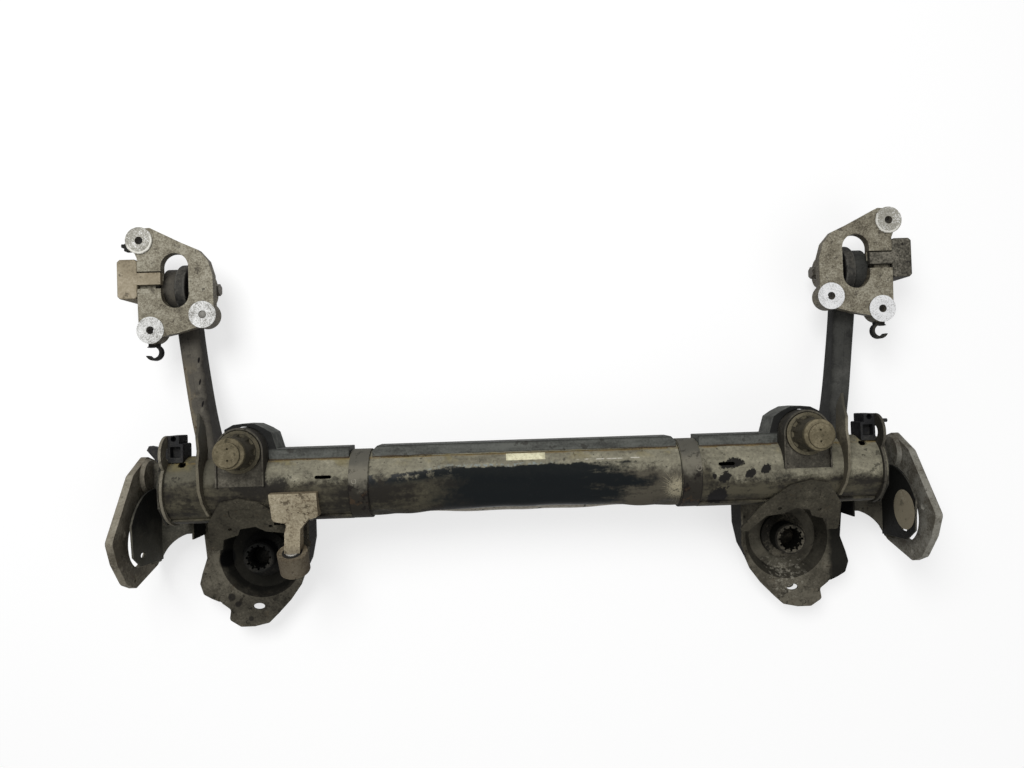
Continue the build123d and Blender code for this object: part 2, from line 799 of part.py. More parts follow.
# Hub plates: thick upright plates with the hub bore, four bolt holes and a round damper pad.
plate_x = hub_face_x - plate_thickness
with BuildPart() as hub_plate:
    with BuildSketch(Plane.YZ.offset(plate_x)) as plate_outline:
        with BuildLine():
            Polyline(
                (58, 70),
                (28, 128),
                (-20, 164),
                (-84, 212),
                (-126, 194),
                (-168, 160),
                (-182, 126),
                (-158, 34),
                (-136, 0),
                (-8, 0),
                (44, 18),
                close=True,
            )
        make_face()
        fillet(plate_outline.vertices(), 12)
    extrude(amount=plate_thickness)
    with BuildSketch(Plane.YZ.offset(plate_x)):
        with Locations((pad_y, pad_z)):
            Circle(pad_radius)
    extrude(amount=-pad_height, taper=30)
    with BuildSketch(Plane.YZ.offset(plate_x - pad_height)):
        with Locations((hub_bore_y, hub_bore_z)):
            Circle(hub_bore_radius)
            with PolarLocations(hub_bolt_circle / 2, 4, start_angle=hub_bolt_angle):
                Circle(hub_bolt_radius)
    extrude(amount=plate_thickness + pad_height, mode=Mode.SUBTRACT)
    chamfer(hub_plate.faces().sort_by(Axis.X)[-1].outer_wire().edges(), 3)
save_pair(hub_plate.part, "hub_plate")


# End brackets: folded sheet from the tube's end to the hub plate, with a hollowed rear edge.
gap_x = plate_x - seat_gap
end_wall_x = tube_end_x + seat_gap
floor_front_y = 44.0
floor_overlap = 22.0
with BuildPart() as end_bracket:
    with BuildSketch(Plane.XY.offset(floor_plate_z)):
        with BuildLine():
            Polyline(
                (tube_end_x - floor_overlap, -62),
                (tube_end_x - floor_overlap, -94),
                (tube_end_x + 2, -95),
            )
            RadiusArc((tube_end_x + 2, -95), (inner_wall_x + 4, -146), 78)
            Polyline(
                (inner_wall_x + 4, -146),
                (gap_x, -152),
                (gap_x, floor_front_y),
                (tube_end_x - floor_overlap, floor_front_y),
                (tube_end_x - floor_overlap, -62),
            )
        make_face()
    extrude(amount=bracket_sheet)
    with BuildSketch(Plane.YZ.offset(end_wall_x)):
        with BuildLine():
            Polyline(
                (-64, floor_plate_z),
                (floor_front_y, floor_plate_z),
                (floor_front_y, tube_z + 44),
                (10, crown_z - 4),
                (-30, crown_z - 8),
                (-64, tube_z + 20),
                close=True,
            )
        make_face()
    extrude(amount=bracket_sheet)
    with BuildSketch(Plane.YZ.offset(inner_wall_x)):
        with BuildLine():
            wall_curve = ThreePointArc(
                (inner_wall_front_y, floor_plate_z + 18),
                (inner_wall_front_y - 16, floor_plate_z + 93),
                (inner_wall_front_y - 56, inner_wall_top),
            )
            Polyline(
                wall_curve @ 1,
                (-116, inner_wall_top - 6),
                (-137, inner_wall_top - 36),
                (-142, floor_plate_z),
                (inner_wall_front_y, floor_plate_z),
                wall_curve @ 0,
            )
        make_face()
        with Locations((-118, inner_wall_top - 44)):
            SlotOverall(20, 9, rotation=90, mode=Mode.SUBTRACT)
    extrude(amount=bracket_sheet)
    with BuildSketch(Plane.XY.offset(floor_plate_z)):
        with Locations((tube_end_x - 14, -83)):
            Circle(4.5)
    extrude(amount=bracket_sheet, mode=Mode.SUBTRACT)
    add(
        rod(pad_radius + 1, plate_x - pad_height - 1, plate_x, pad_y, pad_z),
        mode=Mode.SUBTRACT,
    )
save_pair(end_bracket.part, "end_bracket")


# Damper lugs: upright plates round the tube's end, with an eye standing out in front of it.
lug_x = tube_end_x - 2 * lug_sheet
lug_z = tube_z + lug_rise
with BuildPart() as damper_lug:
    with BuildSketch(Plane.YZ.offset(lug_x)):
        with Locations((0, tube_z)):
            Circle(tube_radius + 7)
        with Locations((lug_y, lug_z)):
            Circle(lug_radius)
        with Locations((lug_y / 2, tube_z + 10)):
            Rectangle(lug_y, 1.5 * lug_radius)
        with Locations((0, tube_z)):
            Circle(seat_radius, mode=Mode.SUBTRACT)
        with Locations((lug_y, lug_z)):
            Circle(lug_hole_radius, mode=Mode.SUBTRACT)
    extrude(amount=lug_sheet)
save_pair(damper_lug.part, "damper_lug")

with BuildPart() as lug_clip:
    with BuildSketch(Plane.XY.offset(lug_z - lug_hole_radius)):
        with BuildLine():
            Polyline(
                (-lug_x - lug_sheet - seat_gap, lug_y - 14),
                (-lug_x - lug_sheet - seat_gap, lug_y + 8),
                (-lug_x - lug_sheet - 36, lug_y + 16),
                (-lug_x - lug_sheet - 40, lug_y + 8),
                (-lug_x - lug_sheet - 20, lug_y - 16),
                close=True,
            )
        make_face()
    extrude(amount=-18)
    add(tube_seat, mode=Mode.SUBTRACT)
save(lug_clip.part, "left_lug_clip")

with BuildPart() as lug_peg:
    add(rod(3.5, lug_x + lug_sheet + seat_gap, lug_x + 28, lug_y + 20, lug_z - 8))
save(lug_peg.part, "right_lug_peg")


# Hose blocks: moulded clips bolted in front of the tube between the lug and the arm.
block_x = lug_x - seat_gap - hose_block_width / 2
with BuildPart() as hose_block:
    with BuildSketch(Plane.XY.offset(tube_z + 38)):
        with Locations((block_x, tube_radius + 8)):
            RectangleRounded(hose_block_width, 34, 3)
        with Locations((block_x + 3, tube_radius + 32)):
            RectangleRounded(hose_post, 16, 2)
    extrude(amount=-40)
    with BuildSketch(Plane.XY.offset(tube_z + 38)):
        with Locations((block_x, tube_radius + 10)):
            RectangleRounded(hose_block_width - 8, 20, 2)
        with Locations((block_x + 3, tube_radius + 34)):
            Circle(5)
    extrude(amount=-14, mode=Mode.SUBTRACT)
    add(tube_seat, mode=Mode.SUBTRACT)
save_pair(hose_block.part, "hose_block")


# Spring pans: pressed dishes under and behind the tube, with upright walls welded to its rear.
pan_top = pan_z + pan_sheet
dish_z = pan_z - dish_depth
pan_inner_edge = [
    (pan_x - pan_inner_reach, pan_front_y),
    (pan_x - pan_inner_reach, -110),
    (pan_x - 99, -150),
    (pan_x - 84, -180),
]
with BuildPart() as spring_pan:
    with BuildSketch(Plane.XY.offset(pan_z)) as pan_outline:
        with BuildLine():
            Polyline(
                *pan_inner_edge,
                (pan_x - 75, -203),
                (pan_x - 54, -232),
                (pan_x - 29, -258),
                (pan_x - 11, 6 - rear_reach_y),
                (pan_x + 17, -rear_reach_y),
                (pan_x + 44, -rear_reach_y),
                (pan_x + 66, -267),
                (pan_x + 63, -247),
                (pan_x + 83, -232),
                (pan_x + 99, -225),
                (pan_x + 115, -216),
                (pan_x + 122, -195),
                (pan_x + 117, -175),
                (pan_x + 107, -145),
                (pan_x + pan_outer_reach, -95),
                (pan_x + pan_outer_reach, pan_front_y),
                close=True,
            )
        make_face()
        fillet(pan_outline.vertices(), 7)
    extrude(amount=pan_sheet)
    with BuildSketch(Plane.XY.offset(pan_top)):
        with Locations((pan_x, pan_y)):
            Circle(dish_radius)
    extrude(amount=-pan_sheet, mode=Mode.SUBTRACT)
    with BuildSketch(Plane.XZ.offset(-pan_y)):
        with BuildLine():
            Polyline(
                (pan_x + 12, dish_z),
                (pan_x + dish_floor_radius, dish_z),
                (pan_x + dish_radius + 1, pan_z),
                (pan_x + dish_radius + 1, pan_top),
                (pan_x + dish_radius - 4, pan_top),
                (pan_x + dish_floor_radius - 3, dish_z + pan_sheet),
                (pan_x + 12, dish_z + pan_sheet),
                close=True,
            )
        make_face()
    revolve(axis=Axis((pan_x, pan_y, 0), (0, 0, 1)))
    with BuildSketch(Plane.XY.offset(pan_z)):
        with BuildLine():
            Polyline(
                *pan_inner_edge,
                *[(x + pan_sheet, y) for x, y in reversed(pan_inner_edge)],
                close=True,
            )
        make_face()
        with Locations((pan_x + pan_outer_reach - pan_sheet / 2, -55)):
            Rectangle(pan_sheet, 86)
    extrude(amount=pan_wall_height)
    with BuildSketch(Plane.YZ.offset(pan_x - 120)):
        with BuildLine():
            Polyline(
                (-200, pan_z + 8),
                (-176, pan_z + 14),
                (-118, pan_z + pan_wall_height - 8),
                (-90, pan_z + pan_wall_height + 10),
                (-200, pan_z + pan_wall_height + 10),
                close=True,
            )
        make_face()
    extrude(amount=250, mode=Mode.SUBTRACT)
    add(shell_seat, mode=Mode.SUBTRACT)
    with BuildSketch(Plane.XY.offset(pan_top)):
        with Locations((pan_x + 8, 39 - rear_reach_y)):
            Ellipse(11, 6)
    extrude(amount=-pan_sheet, mode=Mode.SUBTRACT)
    with BuildSketch(Plane.XY.offset(pan_top)):
        with Locations((pan_x + 79, 55 - rear_reach_y)):
            Circle(8)
        with Locations((pan_x + 57, 32 - rear_reach_y), (pan_x + 30, 9 - rear_reach_y)):
            Circle(4.5)
    extrude(amount=-pan_sheet / 2, mode=Mode.SUBTRACT)
    with BuildSketch(Plane.XY.offset(dish_z + pan_sheet)):
        with Locations((pan_x + 58, pan_y - 2)):
            Ellipse(10, 22)
    extrude(amount=-pan_sheet / 2, mode=Mode.SUBTRACT)
save_pair(spring_pan.part, "spring_pan")


# Crown plates: pressed sheets from the tube's top down over the front of the pan, scalloped behind.
slope = radians(crown_slope)
crown_line = Plane(
    origin=(0, -tube_radius * sin(slope), tube_z + seat_radius * cos(slope)),
    x_dir=(1, 0, 0),
    z_dir=(0, sin(-slope), cos(slope)),
)


def down(y):
    """Distance along the sloped sheet of a point seen at y from above."""
    return (y + tube_radius * sin(slope)) / cos(slope)


with BuildPart() as crown_plate:
    with BuildSketch(crown_line) as crown_outline:
        with BuildLine():
            Polyline(
                (pan_x - 40, down(-22)),
                (pan_x - 5, down(-14)),
                (pan_x + 30, down(-20)),
                (pan_x + 60, down(-60)),
                (pan_x + 66, down(-113)),
                (pan_x + 44, down(-113)),
                (pan_x + 38, down(-92)),
                (pan_x + 10, down(-84)),
                (pan_x + 4, down(-72)),
                (pan_x - 24, down(-68)),
                (pan_x - 42, down(-78)),
                (pan_x - 74, down(-82)),
                (pan_x - 104, down(-112)),
                (pan_x - 122, down(-110)),
                (pan_x - 88, down(-62)),
                close=True,
            )
        make_face()
        fillet(crown_outline.vertices(), 5)
        with Locations((pan_x - 52, down(-68)), (pan_x + 22, down(-72))):
            Circle(3.5, mode=Mode.SUBTRACT)
    extrude(amount=crown_sheet)
    with BuildSketch(crown_line.offset(crown_sheet)):
        with Locations((pan_x - 4, down(-42))):
            RectangleRounded(44, 20, 5)
    extrude(amount=-1.5, mode=Mode.SUBTRACT)
save(crown_plate.part, "right_crown_plate")

with BuildPart() as notched_crown_plate:
    add(mirror(crown_plate.part, about=Plane.YZ))
    with BuildSketch(Plane.XY.offset(tube_z)):
        with Locations((rod_head_x, 0)):
            Rectangle(rod_head_width + 3, 2 * rod_head_reach)
    extrude(amount=2 * tube_radius, mode=Mode.SUBTRACT)
save(notched_crown_plate.part, "left_crown_plate")


# Spring seats: moulded rings on the pans that centre the coil springs, with a toothed bore.
seat_z = dish_z + pan_sheet + seat_gap
with BuildPart() as spring_seat:
    with BuildSketch(Plane.XZ.offset(-pan_y)):
        with BuildLine():
            Polyline(
                (pan_x + seat_bore_radius, seat_z),
                (pan_x + seat_ring_radius, seat_z),
                (pan_x + seat_ring_radius, seat_z + 8),
                (pan_x + seat_ring_radius - 5, seat_z + 11),
                (pan_x + seat_top_radius, seat_z + 14),
                (pan_x + seat_top_radius, seat_z + seat_height - 3),
                (pan_x + seat_top_radius - 3, seat_z + seat_height),
                (pan_x + seat_bore_radius, seat_z + seat_height),
                close=True,
            )
        make_face()
    revolve(axis=Axis((pan_x, pan_y, 0), (0, 0, 1)))
    with BuildSketch(Plane.XY.offset(seat_z + seat_height)):
        with Locations((pan_x, pan_y)):
            with PolarLocations(seat_bore_radius, seat_teeth):
                Rectangle(7, 4)
    extrude(amount=-12, mode=Mode.SUBTRACT)
save_pair(spring_seat.part, "spring_seat")


# Rod lug: one cast arm on the left, bolted over the tube, with a bushed eye for a sideways rod.
head_low = seat_radius
head_high = seat_radius + rod_head_thickness
eye_tilt = radians(rod_eye_tilt)
eye_axis = Vector(0, cos(eye_tilt), sin(eye_tilt))
eye_centre = Vector(rod_lug_x, rod_eye_y, rod_eye_z)
eye_plane = Plane(origin=eye_centre - eye_axis * (rod_eye_length / 2), x_dir=(1, 0, 0), z_dir=eye_axis)
head_edge = rod_head_width / 2
shank_edge = rod_shank_width / 2
shank_angle = radians(139)
bolt_angle = radians(142)
outward = Vector(0, cos(bolt_angle), sin(bolt_angle))
bolt_planes = [
    Plane(
        origin=(
            rod_head_x + side * rod_bolt_spread,
            seat_radius * cos(bolt_angle),
            tube_z + seat_radius * sin(bolt_angle),
        ),
        x_dir=(1, 0, 0),
        z_dir=outward,
    )
    for side in (-1, 1)
]
with BuildPart() as rod_lug:
    with BuildSketch(Plane.YZ.offset(rod_head_x - head_edge)):
        with Locations((0, tube_z)):
            Circle(head_high)
            Circle(head_low, mode=Mode.SUBTRACT)
        with BuildLine():
            Polyline(
                (0, tube_z),
                (200 * cos(radians(96)), tube_z + 200 * sin(radians(96))),
                (200 * cos(radians(122)), tube_z + 200 * sin(radians(122))),
                (200 * cos(radians(148)), tube_z + 200 * sin(radians(148))),
                close=True,
            )
        make_face(mode=Mode.INTERSECT)
    extrude(amount=rod_head_width)
    with BuildSketch(Plane.YZ.offset(rod_head_x - head_edge)):
        with BuildLine():
            Polyline(
                (-18, crown_z + rod_head_thickness - 2),
                (-34, crown_z - 8),
                (head_low * cos(shank_angle), tube_z + head_low * sin(shank_angle)),
                (-62, tube_z + 38),
                (rod_eye_y + 12, rod_eye_z - 16),
                (rod_eye_y, rod_eye_z + 14),
                (-66, crown_z - 4),
                close=True,
            )
        make_face()
    extrude(amount=rod_head_width)
    with BuildSketch(Plane.XY.offset(tube_z)) as lug_plan:
        with BuildLine():
            Polyline(
                (rod_head_x - head_edge, tube_radius / 2),
                (rod_head_x + head_edge, tube_radius / 2),
                (rod_head_x + head_edge - 2, -52),
                (rod_head_x + head_edge / 2, -57),
                (rod_lug_x + shank_edge + 5, -73),
                (rod_lug_x + shank_edge, rod_eye_y),
                (rod_lug_x - shank_edge, rod_eye_y),
                (rod_lug_x + 5 - shank_edge, -73),
                (rod_head_x - head_edge / 2, -62),
                (rod_head_x - head_edge + 2, -58),
                close=True,
            )
        make_face()
        fillet(lug_plan.vertices(), 7)
    extrude(amount=2 * tube_radius, mode=Mode.INTERSECT)
    with BuildSketch(eye_plane):
        Circle(rod_eye_radius)
    extrude(amount=rod_eye_length)
    with BuildSketch(eye_plane.offset(-2)):
        Circle(rod_bush_radius + seat_gap)
    extrude(amount=rod_eye_length + 4, mode=Mode.SUBTRACT)
    for bolt_plane in bolt_planes:
        with BuildSketch(bolt_plane):
            Circle(rod_bolt_radius + 2.5)
        extrude(amount=3 * rod_head_thickness, mode=Mode.SUBTRACT)
    add(tube_seat, mode=Mode.SUBTRACT)
save(rod_lug.part, "left_rod_lug")

with BuildPart() as rod_bush:
    with BuildSketch(eye_plane):
        Circle(rod_bush_radius)
        Circle(rod_sleeve_radius + seat_gap, mode=Mode.SUBTRACT)
    extrude(amount=rod_eye_length)
save(rod_bush.part, "left_rod_bush")

with BuildPart() as rod_sleeve:
    with BuildSketch(eye_plane.offset(-2)):
        Circle(rod_sleeve_radius)
        Circle(rod_sleeve_bore, mode=Mode.SUBTRACT)
    extrude(amount=rod_eye_length + 4)
save(rod_sleeve.part, "left_rod_sleeve")

with BuildPart() as rod_bolts:
    for bolt_plane in bolt_planes:
        with BuildSketch(bolt_plane):
            RegularPolygon(rod_bolt_radius, 6, major_radius=False)
        extrude(amount=rod_head_thickness - 2)
save(rod_bolts.part, "left_rod_bolts")
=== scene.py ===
import json
import math
import random

import bmesh
import bpy
from mathutils import Euler, Matrix, Vector
from mathutils.bvhtree import BVHTree

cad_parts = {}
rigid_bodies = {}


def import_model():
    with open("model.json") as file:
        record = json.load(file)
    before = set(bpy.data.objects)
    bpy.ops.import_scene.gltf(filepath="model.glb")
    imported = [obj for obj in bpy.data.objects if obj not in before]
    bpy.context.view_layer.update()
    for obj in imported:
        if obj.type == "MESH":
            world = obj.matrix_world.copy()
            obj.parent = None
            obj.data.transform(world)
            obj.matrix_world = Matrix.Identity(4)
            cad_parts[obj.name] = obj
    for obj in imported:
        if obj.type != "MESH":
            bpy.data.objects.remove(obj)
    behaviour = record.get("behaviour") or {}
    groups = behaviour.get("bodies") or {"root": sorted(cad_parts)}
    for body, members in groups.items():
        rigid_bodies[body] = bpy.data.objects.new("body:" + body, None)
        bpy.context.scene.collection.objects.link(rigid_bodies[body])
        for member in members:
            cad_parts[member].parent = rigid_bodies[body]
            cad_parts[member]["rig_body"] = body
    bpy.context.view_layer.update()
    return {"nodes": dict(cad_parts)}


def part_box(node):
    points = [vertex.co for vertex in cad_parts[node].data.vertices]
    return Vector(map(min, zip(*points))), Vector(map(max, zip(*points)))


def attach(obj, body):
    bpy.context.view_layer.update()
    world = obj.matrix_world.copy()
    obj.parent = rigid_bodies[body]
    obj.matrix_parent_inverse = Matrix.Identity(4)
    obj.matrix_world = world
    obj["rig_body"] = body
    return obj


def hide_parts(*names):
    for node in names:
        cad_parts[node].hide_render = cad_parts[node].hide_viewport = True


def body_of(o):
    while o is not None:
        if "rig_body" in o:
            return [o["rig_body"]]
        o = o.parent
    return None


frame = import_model()


# Cross tube. A drawn steel tube whose middle third is crushed from the rear into a deep fold.
# The old black paint is dusted over in front, wiped clean on the fold and chipped pale on its lip.
# Light and shade are painted in as well: lit in front, shaded behind, with a sheen and a glint on
# the fold.
class Shade:
    """One socket of a node, so that shader maths is written as ordinary sums."""

    def __init__(self, wiring, socket):
        self.wiring = wiring
        self.socket = socket

    def maths(self, operation, first, second=0.0):
        return self.wiring.node("ShaderNodeMath", {"operation": operation}, {0: first, 1: second})

    def __add__(self, other):
        return self.maths("ADD", self, other)

    def __radd__(self, other):
        return self.maths("ADD", other, self)

    def __sub__(self, other):
        return self.maths("SUBTRACT", self, other)

    def __rsub__(self, other):
        return self.maths("SUBTRACT", other, self)

    def __mul__(self, other):
        return self.maths("MULTIPLY", self, other)

    def __rmul__(self, other):
        return self.maths("MULTIPLY", other, self)

    def __truediv__(self, other):
        return self.maths("DIVIDE", self, other)

    def __rtruediv__(self, other):
        return self.maths("DIVIDE", other, self)

    def __neg__(self):
        return self.maths("MULTIPLY", self, -1.0)

    def root(self):
        return self.maths("SQRT", self)

    def size(self):
        return self.maths("ABSOLUTE", self)

    def larger(self, other):
        return self.maths("MAXIMUM", self, other)

    def turn_from(self, across):
        """The angle of a direction whose other part is across."""
        return self.maths("ARCTAN2", self, across)

    def over(self, low, high):
        """0 below low and 1 above high, with a soft step between; low may be the larger."""
        settings = {"interpolation_type": "SMOOTHSTEP", "clamp": True}
        sockets = {"Value": self, "From Min": low, "From Max": high}
        return self.wiring.node("ShaderNodeMapRange", settings, sockets)

    def line(self, place, width):
        """1 along a line where this value passes place, fading over half of width each side."""
        return ((self - place) / (width / 2)).size().over(1.0, 0.2)


class Wiring:
    """The nodes of one material, or of the world."""

    def __init__(self, tree):
        self.tree = tree

    def feed(self, node, key, value):
        """Links a shade to a node's socket, or sets a plain value there."""
        if isinstance(value, Shade):
            self.tree.links.new(value.socket, node.inputs[key])
        else:
            node.inputs[key].default_value = value

    def node(self, kind, settings=None, sockets=None, out=0):
        """A node of any type: its settings first, then the values or links of its sockets."""
        made = self.tree.nodes.new(kind)
        for key, value in (settings or {}).items():
            setattr(made, key, value)
        for key, value in (sockets or {}).items():
            self.feed(made, key, value)
        return Shade(self, made.outputs[out])


class Finish(Wiring):
    """One material. Patterns lie on object coordinates, which are the whole part's, in metres."""

    def __init__(self, name, metallic=0.0, shine=0.08):
        self.material = bpy.data.materials.new(name)
        self.material.use_nodes = True
        super().__init__(self.material.node_tree)
        self.skin = self.tree.nodes["Principled BSDF"]
        self.feed(self.skin, "Metallic", metallic)
        self.feed(self.skin, "Specular IOR Level", shine)
        self.place = self.node("ShaderNodeTexCoord", out="Object")
        self.x, self.y, self.z = (self.along(self.place, axis) for axis in "XYZ")
        facing = self.node("ShaderNodeTexCoord", out="Normal")
        self.sideways, self.up = (self.along(facing, axis) for axis in "XZ")

    def along(self, vector, axis):
        return self.node("ShaderNodeSeparateXYZ", {}, {0: vector}, out=axis)

    def on_right(self):
        """1 on the right half of the axle, 0 on the left."""
        return self.x.over(-0.1, 0.1)

    def on_left(self):
        return self.x.over(0.1, -0.1)

    def noise(self, per_metre, detail=4.0, roughness=0.55, shift=0.0, stretch=(1, 1, 1)):
        """A cloudy pattern from 0 to 1, mostly between 0.35 and 0.65."""
        sockets = {"Vector": self.place, "Location": (shift, 2 * shift, -shift), "Scale": stretch}
        moved = self.node("ShaderNodeMapping", {}, sockets)
        sockets = {"Vector": moved, "Scale": per_metre, "Detail": detail, "Roughness": roughness}
        return self.node("ShaderNodeTexNoise", {}, sockets)

    def near(self, centre, radius, soft, wobble):
        """1 inside a ball and 0 outside it, with a soft edge that noise makes ragged."""
        sockets = {0: self.place, 1: centre}
        away = self.node("ShaderNodeVectorMath", {"operation": "DISTANCE"}, sockets, out="Value")
        ragged = self.noise(4 / radius, 4, shift=centre[0]) - 0.5
        away = away + ragged * (4 * wobble * radius)
        return away.over(radius * (1 + soft), radius * (1 - soft))

    def spot(self, across, along, half_across, half_along):
        """1 inside an upright ellipse seen from above, at x across and y along."""
        a = (self.x - across) / half_across
        b = (self.y - along) / half_along
        return (a * a + b * b).root().over(1.15, 0.75)

    def mix(self, share, low, high):
        """A colour that runs from low to high as share runs from 0 to 1."""
        sockets = {0: share, 6: low, 7: high}
        return self.node("ShaderNodeMix", {"data_type": "RGBA"}, sockets, out=2)

    def rough_skin(self, height, depth):
        """Small relief on the surface, depth in metres."""
        sockets = {"Height": height, "Distance": depth, "Strength": 1.0}
        self.feed(self.skin, "Normal", self.node("ShaderNodeBump", {}, sockets))

    def coat(self, colour, roughness):
        self.feed(self.skin, "Base Color", colour)
        self.feed(self.skin, "Roughness", roughness)


def tint(red, green, blue):
    return (red, green, blue, 1.0)


def show(thing):
    bpy.context.scene.collection.objects.link(thing)
    return thing


def dress(node, finish, edge):
    """A copy of a CAD node with joined faces, softened edges and a finish, shown in its place."""
    crease = math.radians(32)
    source = frame["nodes"][node]
    piece = show(source.copy())
    piece.data = source.data.copy()
    piece.name = node + "_dressed"
    shape = bmesh.new()
    shape.from_mesh(piece.data)
    bmesh.ops.remove_doubles(shape, verts=shape.verts, dist=0.00001)
    bmesh.ops.dissolve_limit(
        shape, angle_limit=math.radians(1.0), verts=shape.verts, edges=shape.edges
    )
    for face in shape.faces:
        face.smooth = True
    shape.to_mesh(piece.data)
    shape.free()
    piece.data.materials.clear()
    piece.data.materials.append(finish.material)
    if edge:
        rounding = piece.modifiers.new("edges", "BEVEL")
        rounding.width = edge
        rounding.segments = 2
        rounding.limit_method = "ANGLE"
        rounding.angle_limit = crease
        rounding.use_clamp_overlap = True
        rounding.harden_normals = True
    piece.data.set_sharp_from_angle(angle=crease)
    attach(piece, body_of(source)[0])
    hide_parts(node)


collar_low, collar_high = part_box("right_collar")
tube_axis_y = (collar_low.y + collar_high.y) / 2
tube_axis_z = (collar_low.z + collar_high.z) / 2

# Here and in every later section, t is the finish that is being mixed.
t = tube_finish = Finish("tube_finish", shine=0.10)
ahead = t.y - tube_axis_y
broad = t.noise(9, 4, 0.55, shift=1) - 0.5
ragged = t.noise(30, 6, 0.66, shift=2) - 0.5
grain = t.noise(170, 4, 0.7, shift=3) - 0.5
streak = t.noise(46, 5, 0.6, shift=5, stretch=(0.22, 1, 1)) - 0.5

# Brown paint behind the axis and pale dust ahead of it. The step between them is also painted
# light and shade: the front lit, the rear half shaded.
dust_and_shade_border = ahead + ragged * 0.035 + grain * 0.020 + t.x.over(0.325, 0.345) * 0.022
banded = dust_and_shade_border.over(0.004, 0.024)
rear_tone = 0.42 + broad * 1.8 + ragged * 1.4 + streak * 2.0 + grain * 0.9
middle_right = t.x.over(0.10, 0.17) * t.x.over(0.33, 0.29)
brown = t.mix(rear_tone.over(0.1, 1.0), tint(0.018, 0.016, 0.013), tint(0.088, 0.079, 0.054))
brown = t.mix(middle_right * rear_tone.over(-0.3, 0.9), brown, tint(0.088, 0.079, 0.060))
dust_tone = 0.55 + ragged * 1.2 + grain * 1.3 + streak * 1.4
dust = t.mix(dust_tone.over(0.0, 0.9), tint(0.110, 0.102, 0.076), tint(0.250, 0.234, 0.172))
dust = t.mix(dust_tone.over(0.7, 1.1), dust, tint(0.340, 0.318, 0.240))
dust = t.mix(t.x.over(-0.470, -0.520) * 0.75, dust, tint(0.072, 0.067, 0.050))
colour = t.mix(banded, brown, dust)

# Black blots outside the collars: small ones at random and six large ones, as (x, y, half widths).
outer = t.x.size().over(0.318, 0.330)
blots = t.noise(26, 5, 0.60, shift=7).over(0.60, 0.64) * outer * 0.6
for across, along, wide, deep in (
    (0.358, -0.1120, 0.0105, 0.0088),
    (0.405, -0.1060, 0.0095, 0.0078),
    (0.434, -0.1000, 0.0085, 0.0070),
    (0.376, -0.0870, 0.0240, 0.0080),
    (0.350, -0.1460, 0.0190, 0.0150),
    (0.340, -0.1090, 0.0036, 0.0050),
):
    a = (t.x - across) / wide + ragged * 1.8
    b = (t.y - along) / deep + grain * 2.4 + ragged * 1.5 - (t.x - across) * 25
    blots = blots.larger((a * a + b * b).root().over(1.15, 0.95))
colour = t.mix(blots * 0.97, colour, tint(0.0060, 0.0055, 0.0055))
specks = t.noise(120, 3, 0.6, shift=11).over(0.63, 0.69)
colour = t.mix(specks * 0.6, colour, tint(0.010, 0.009, 0.009))

# The fold is wiped to wet black behind a ragged front edge, and is scratched. A blue sheen is
# painted into the black, and a glint is painted along the edge.
front_edge = ahead + ragged * 0.018 + grain * 0.006 - t.x.over(-0.29, -0.10) * 0.0095 - 0.0190
behind = front_edge.over(0.0012, -0.0020)
core = (t.x + ragged * 0.20 + streak * 0.14).over(-0.195, -0.105)
core = core * (t.x + streak * 0.34 + ragged * 0.14 + grain * 0.06).over(0.215, 0.125)
near_edge = front_edge.over(-0.026, -0.012) * (t.x + ragged * 0.1).over(0.14, 0.06)
smear = near_edge * (t.noise(34, 5, 0.62, shift=21) + grain * 0.4).over(0.40, 0.50)
wiped = behind * core.larger(smear * t.x.over(-0.2835, -0.2800))
# Painted sheen: the wiped black is tinted blue.
colour = t.mix(wiped * 0.985, colour, tint(0.0030, 0.0048, 0.0058))
# Painted glint along the fold's front edge.
glint = front_edge.line(0.0020, 0.0060) * t.noise(170, 4, 0.7, shift=9).over(0.47, 0.56)
glint = glint * (t.x + ragged * 0.2).over(-0.21, -0.12) * t.x.over(0.08, 0.0)
colour = t.mix(glint * 0.8, colour, tint(0.250, 0.290, 0.290))
scratch = (ahead + streak * 0.004).line(0.0345, 0.0030) * t.noise(70, 3, shift=14).over(0.46, 0.56)
scratch = scratch * t.x.over(0.085, 0.10) * t.x.over(0.23, 0.20)
colour = t.mix(scratch * 0.9, colour, tint(0.560, 0.540, 0.470))

# The fold's lip is chipped pale, with two dark holes.
lip = ahead.over(-0.045, -0.049) * (tube_axis_z - 0.004 - t.z).over(0.0, 0.004)
lip = lip * (t.x + ragged * 0.05).over(-0.265, -0.225) * t.x.over(0.210, 0.180)
chips = t.noise(60, 4, 0.65, shift=13).over(0.60, 0.64)
holes = t.spot(-0.104, -0.1765, 0.0075, 0.0030).larger(t.spot(-0.024, -0.1765, 0.0055, 0.0035))
lip_tone = (grain * 2.5 + 0.5).over(0.2, 0.9)
lip_tone = t.mix(lip_tone, tint(0.300, 0.265, 0.210), tint(0.470, 0.440, 0.380))
colour = t.mix(lip * (1 - chips * 0.9) * (1 - holes), colour, lip_tone)

# Mud has splashed out in rays beside the right collar.
ray_x, ray_ahead = 0.273, -0.022
ray_across = t.x - ray_x
ray_along = ahead - ray_ahead
away = (ray_across * ray_across + ray_along * ray_along).root()
ray_sockets = {"W": ray_along.turn_from(ray_across) * 6.5, "Detail": 3.0}
ray = t.node("ShaderNodeTexNoise", {"noise_dimensions": "1D"}, ray_sockets)
ray_reach = 0.006 + (ray - 0.30).larger(0.0) * 0.065
feather = (away / ray_reach + grain * 1.2).over(1.05, 0.70)
feather = feather * (0.55 + ragged * 2.0 + grain * 2.0).over(0.1, 0.6)
colour = t.mix(feather * 0.85, colour, tint(0.400, 0.360, 0.250))

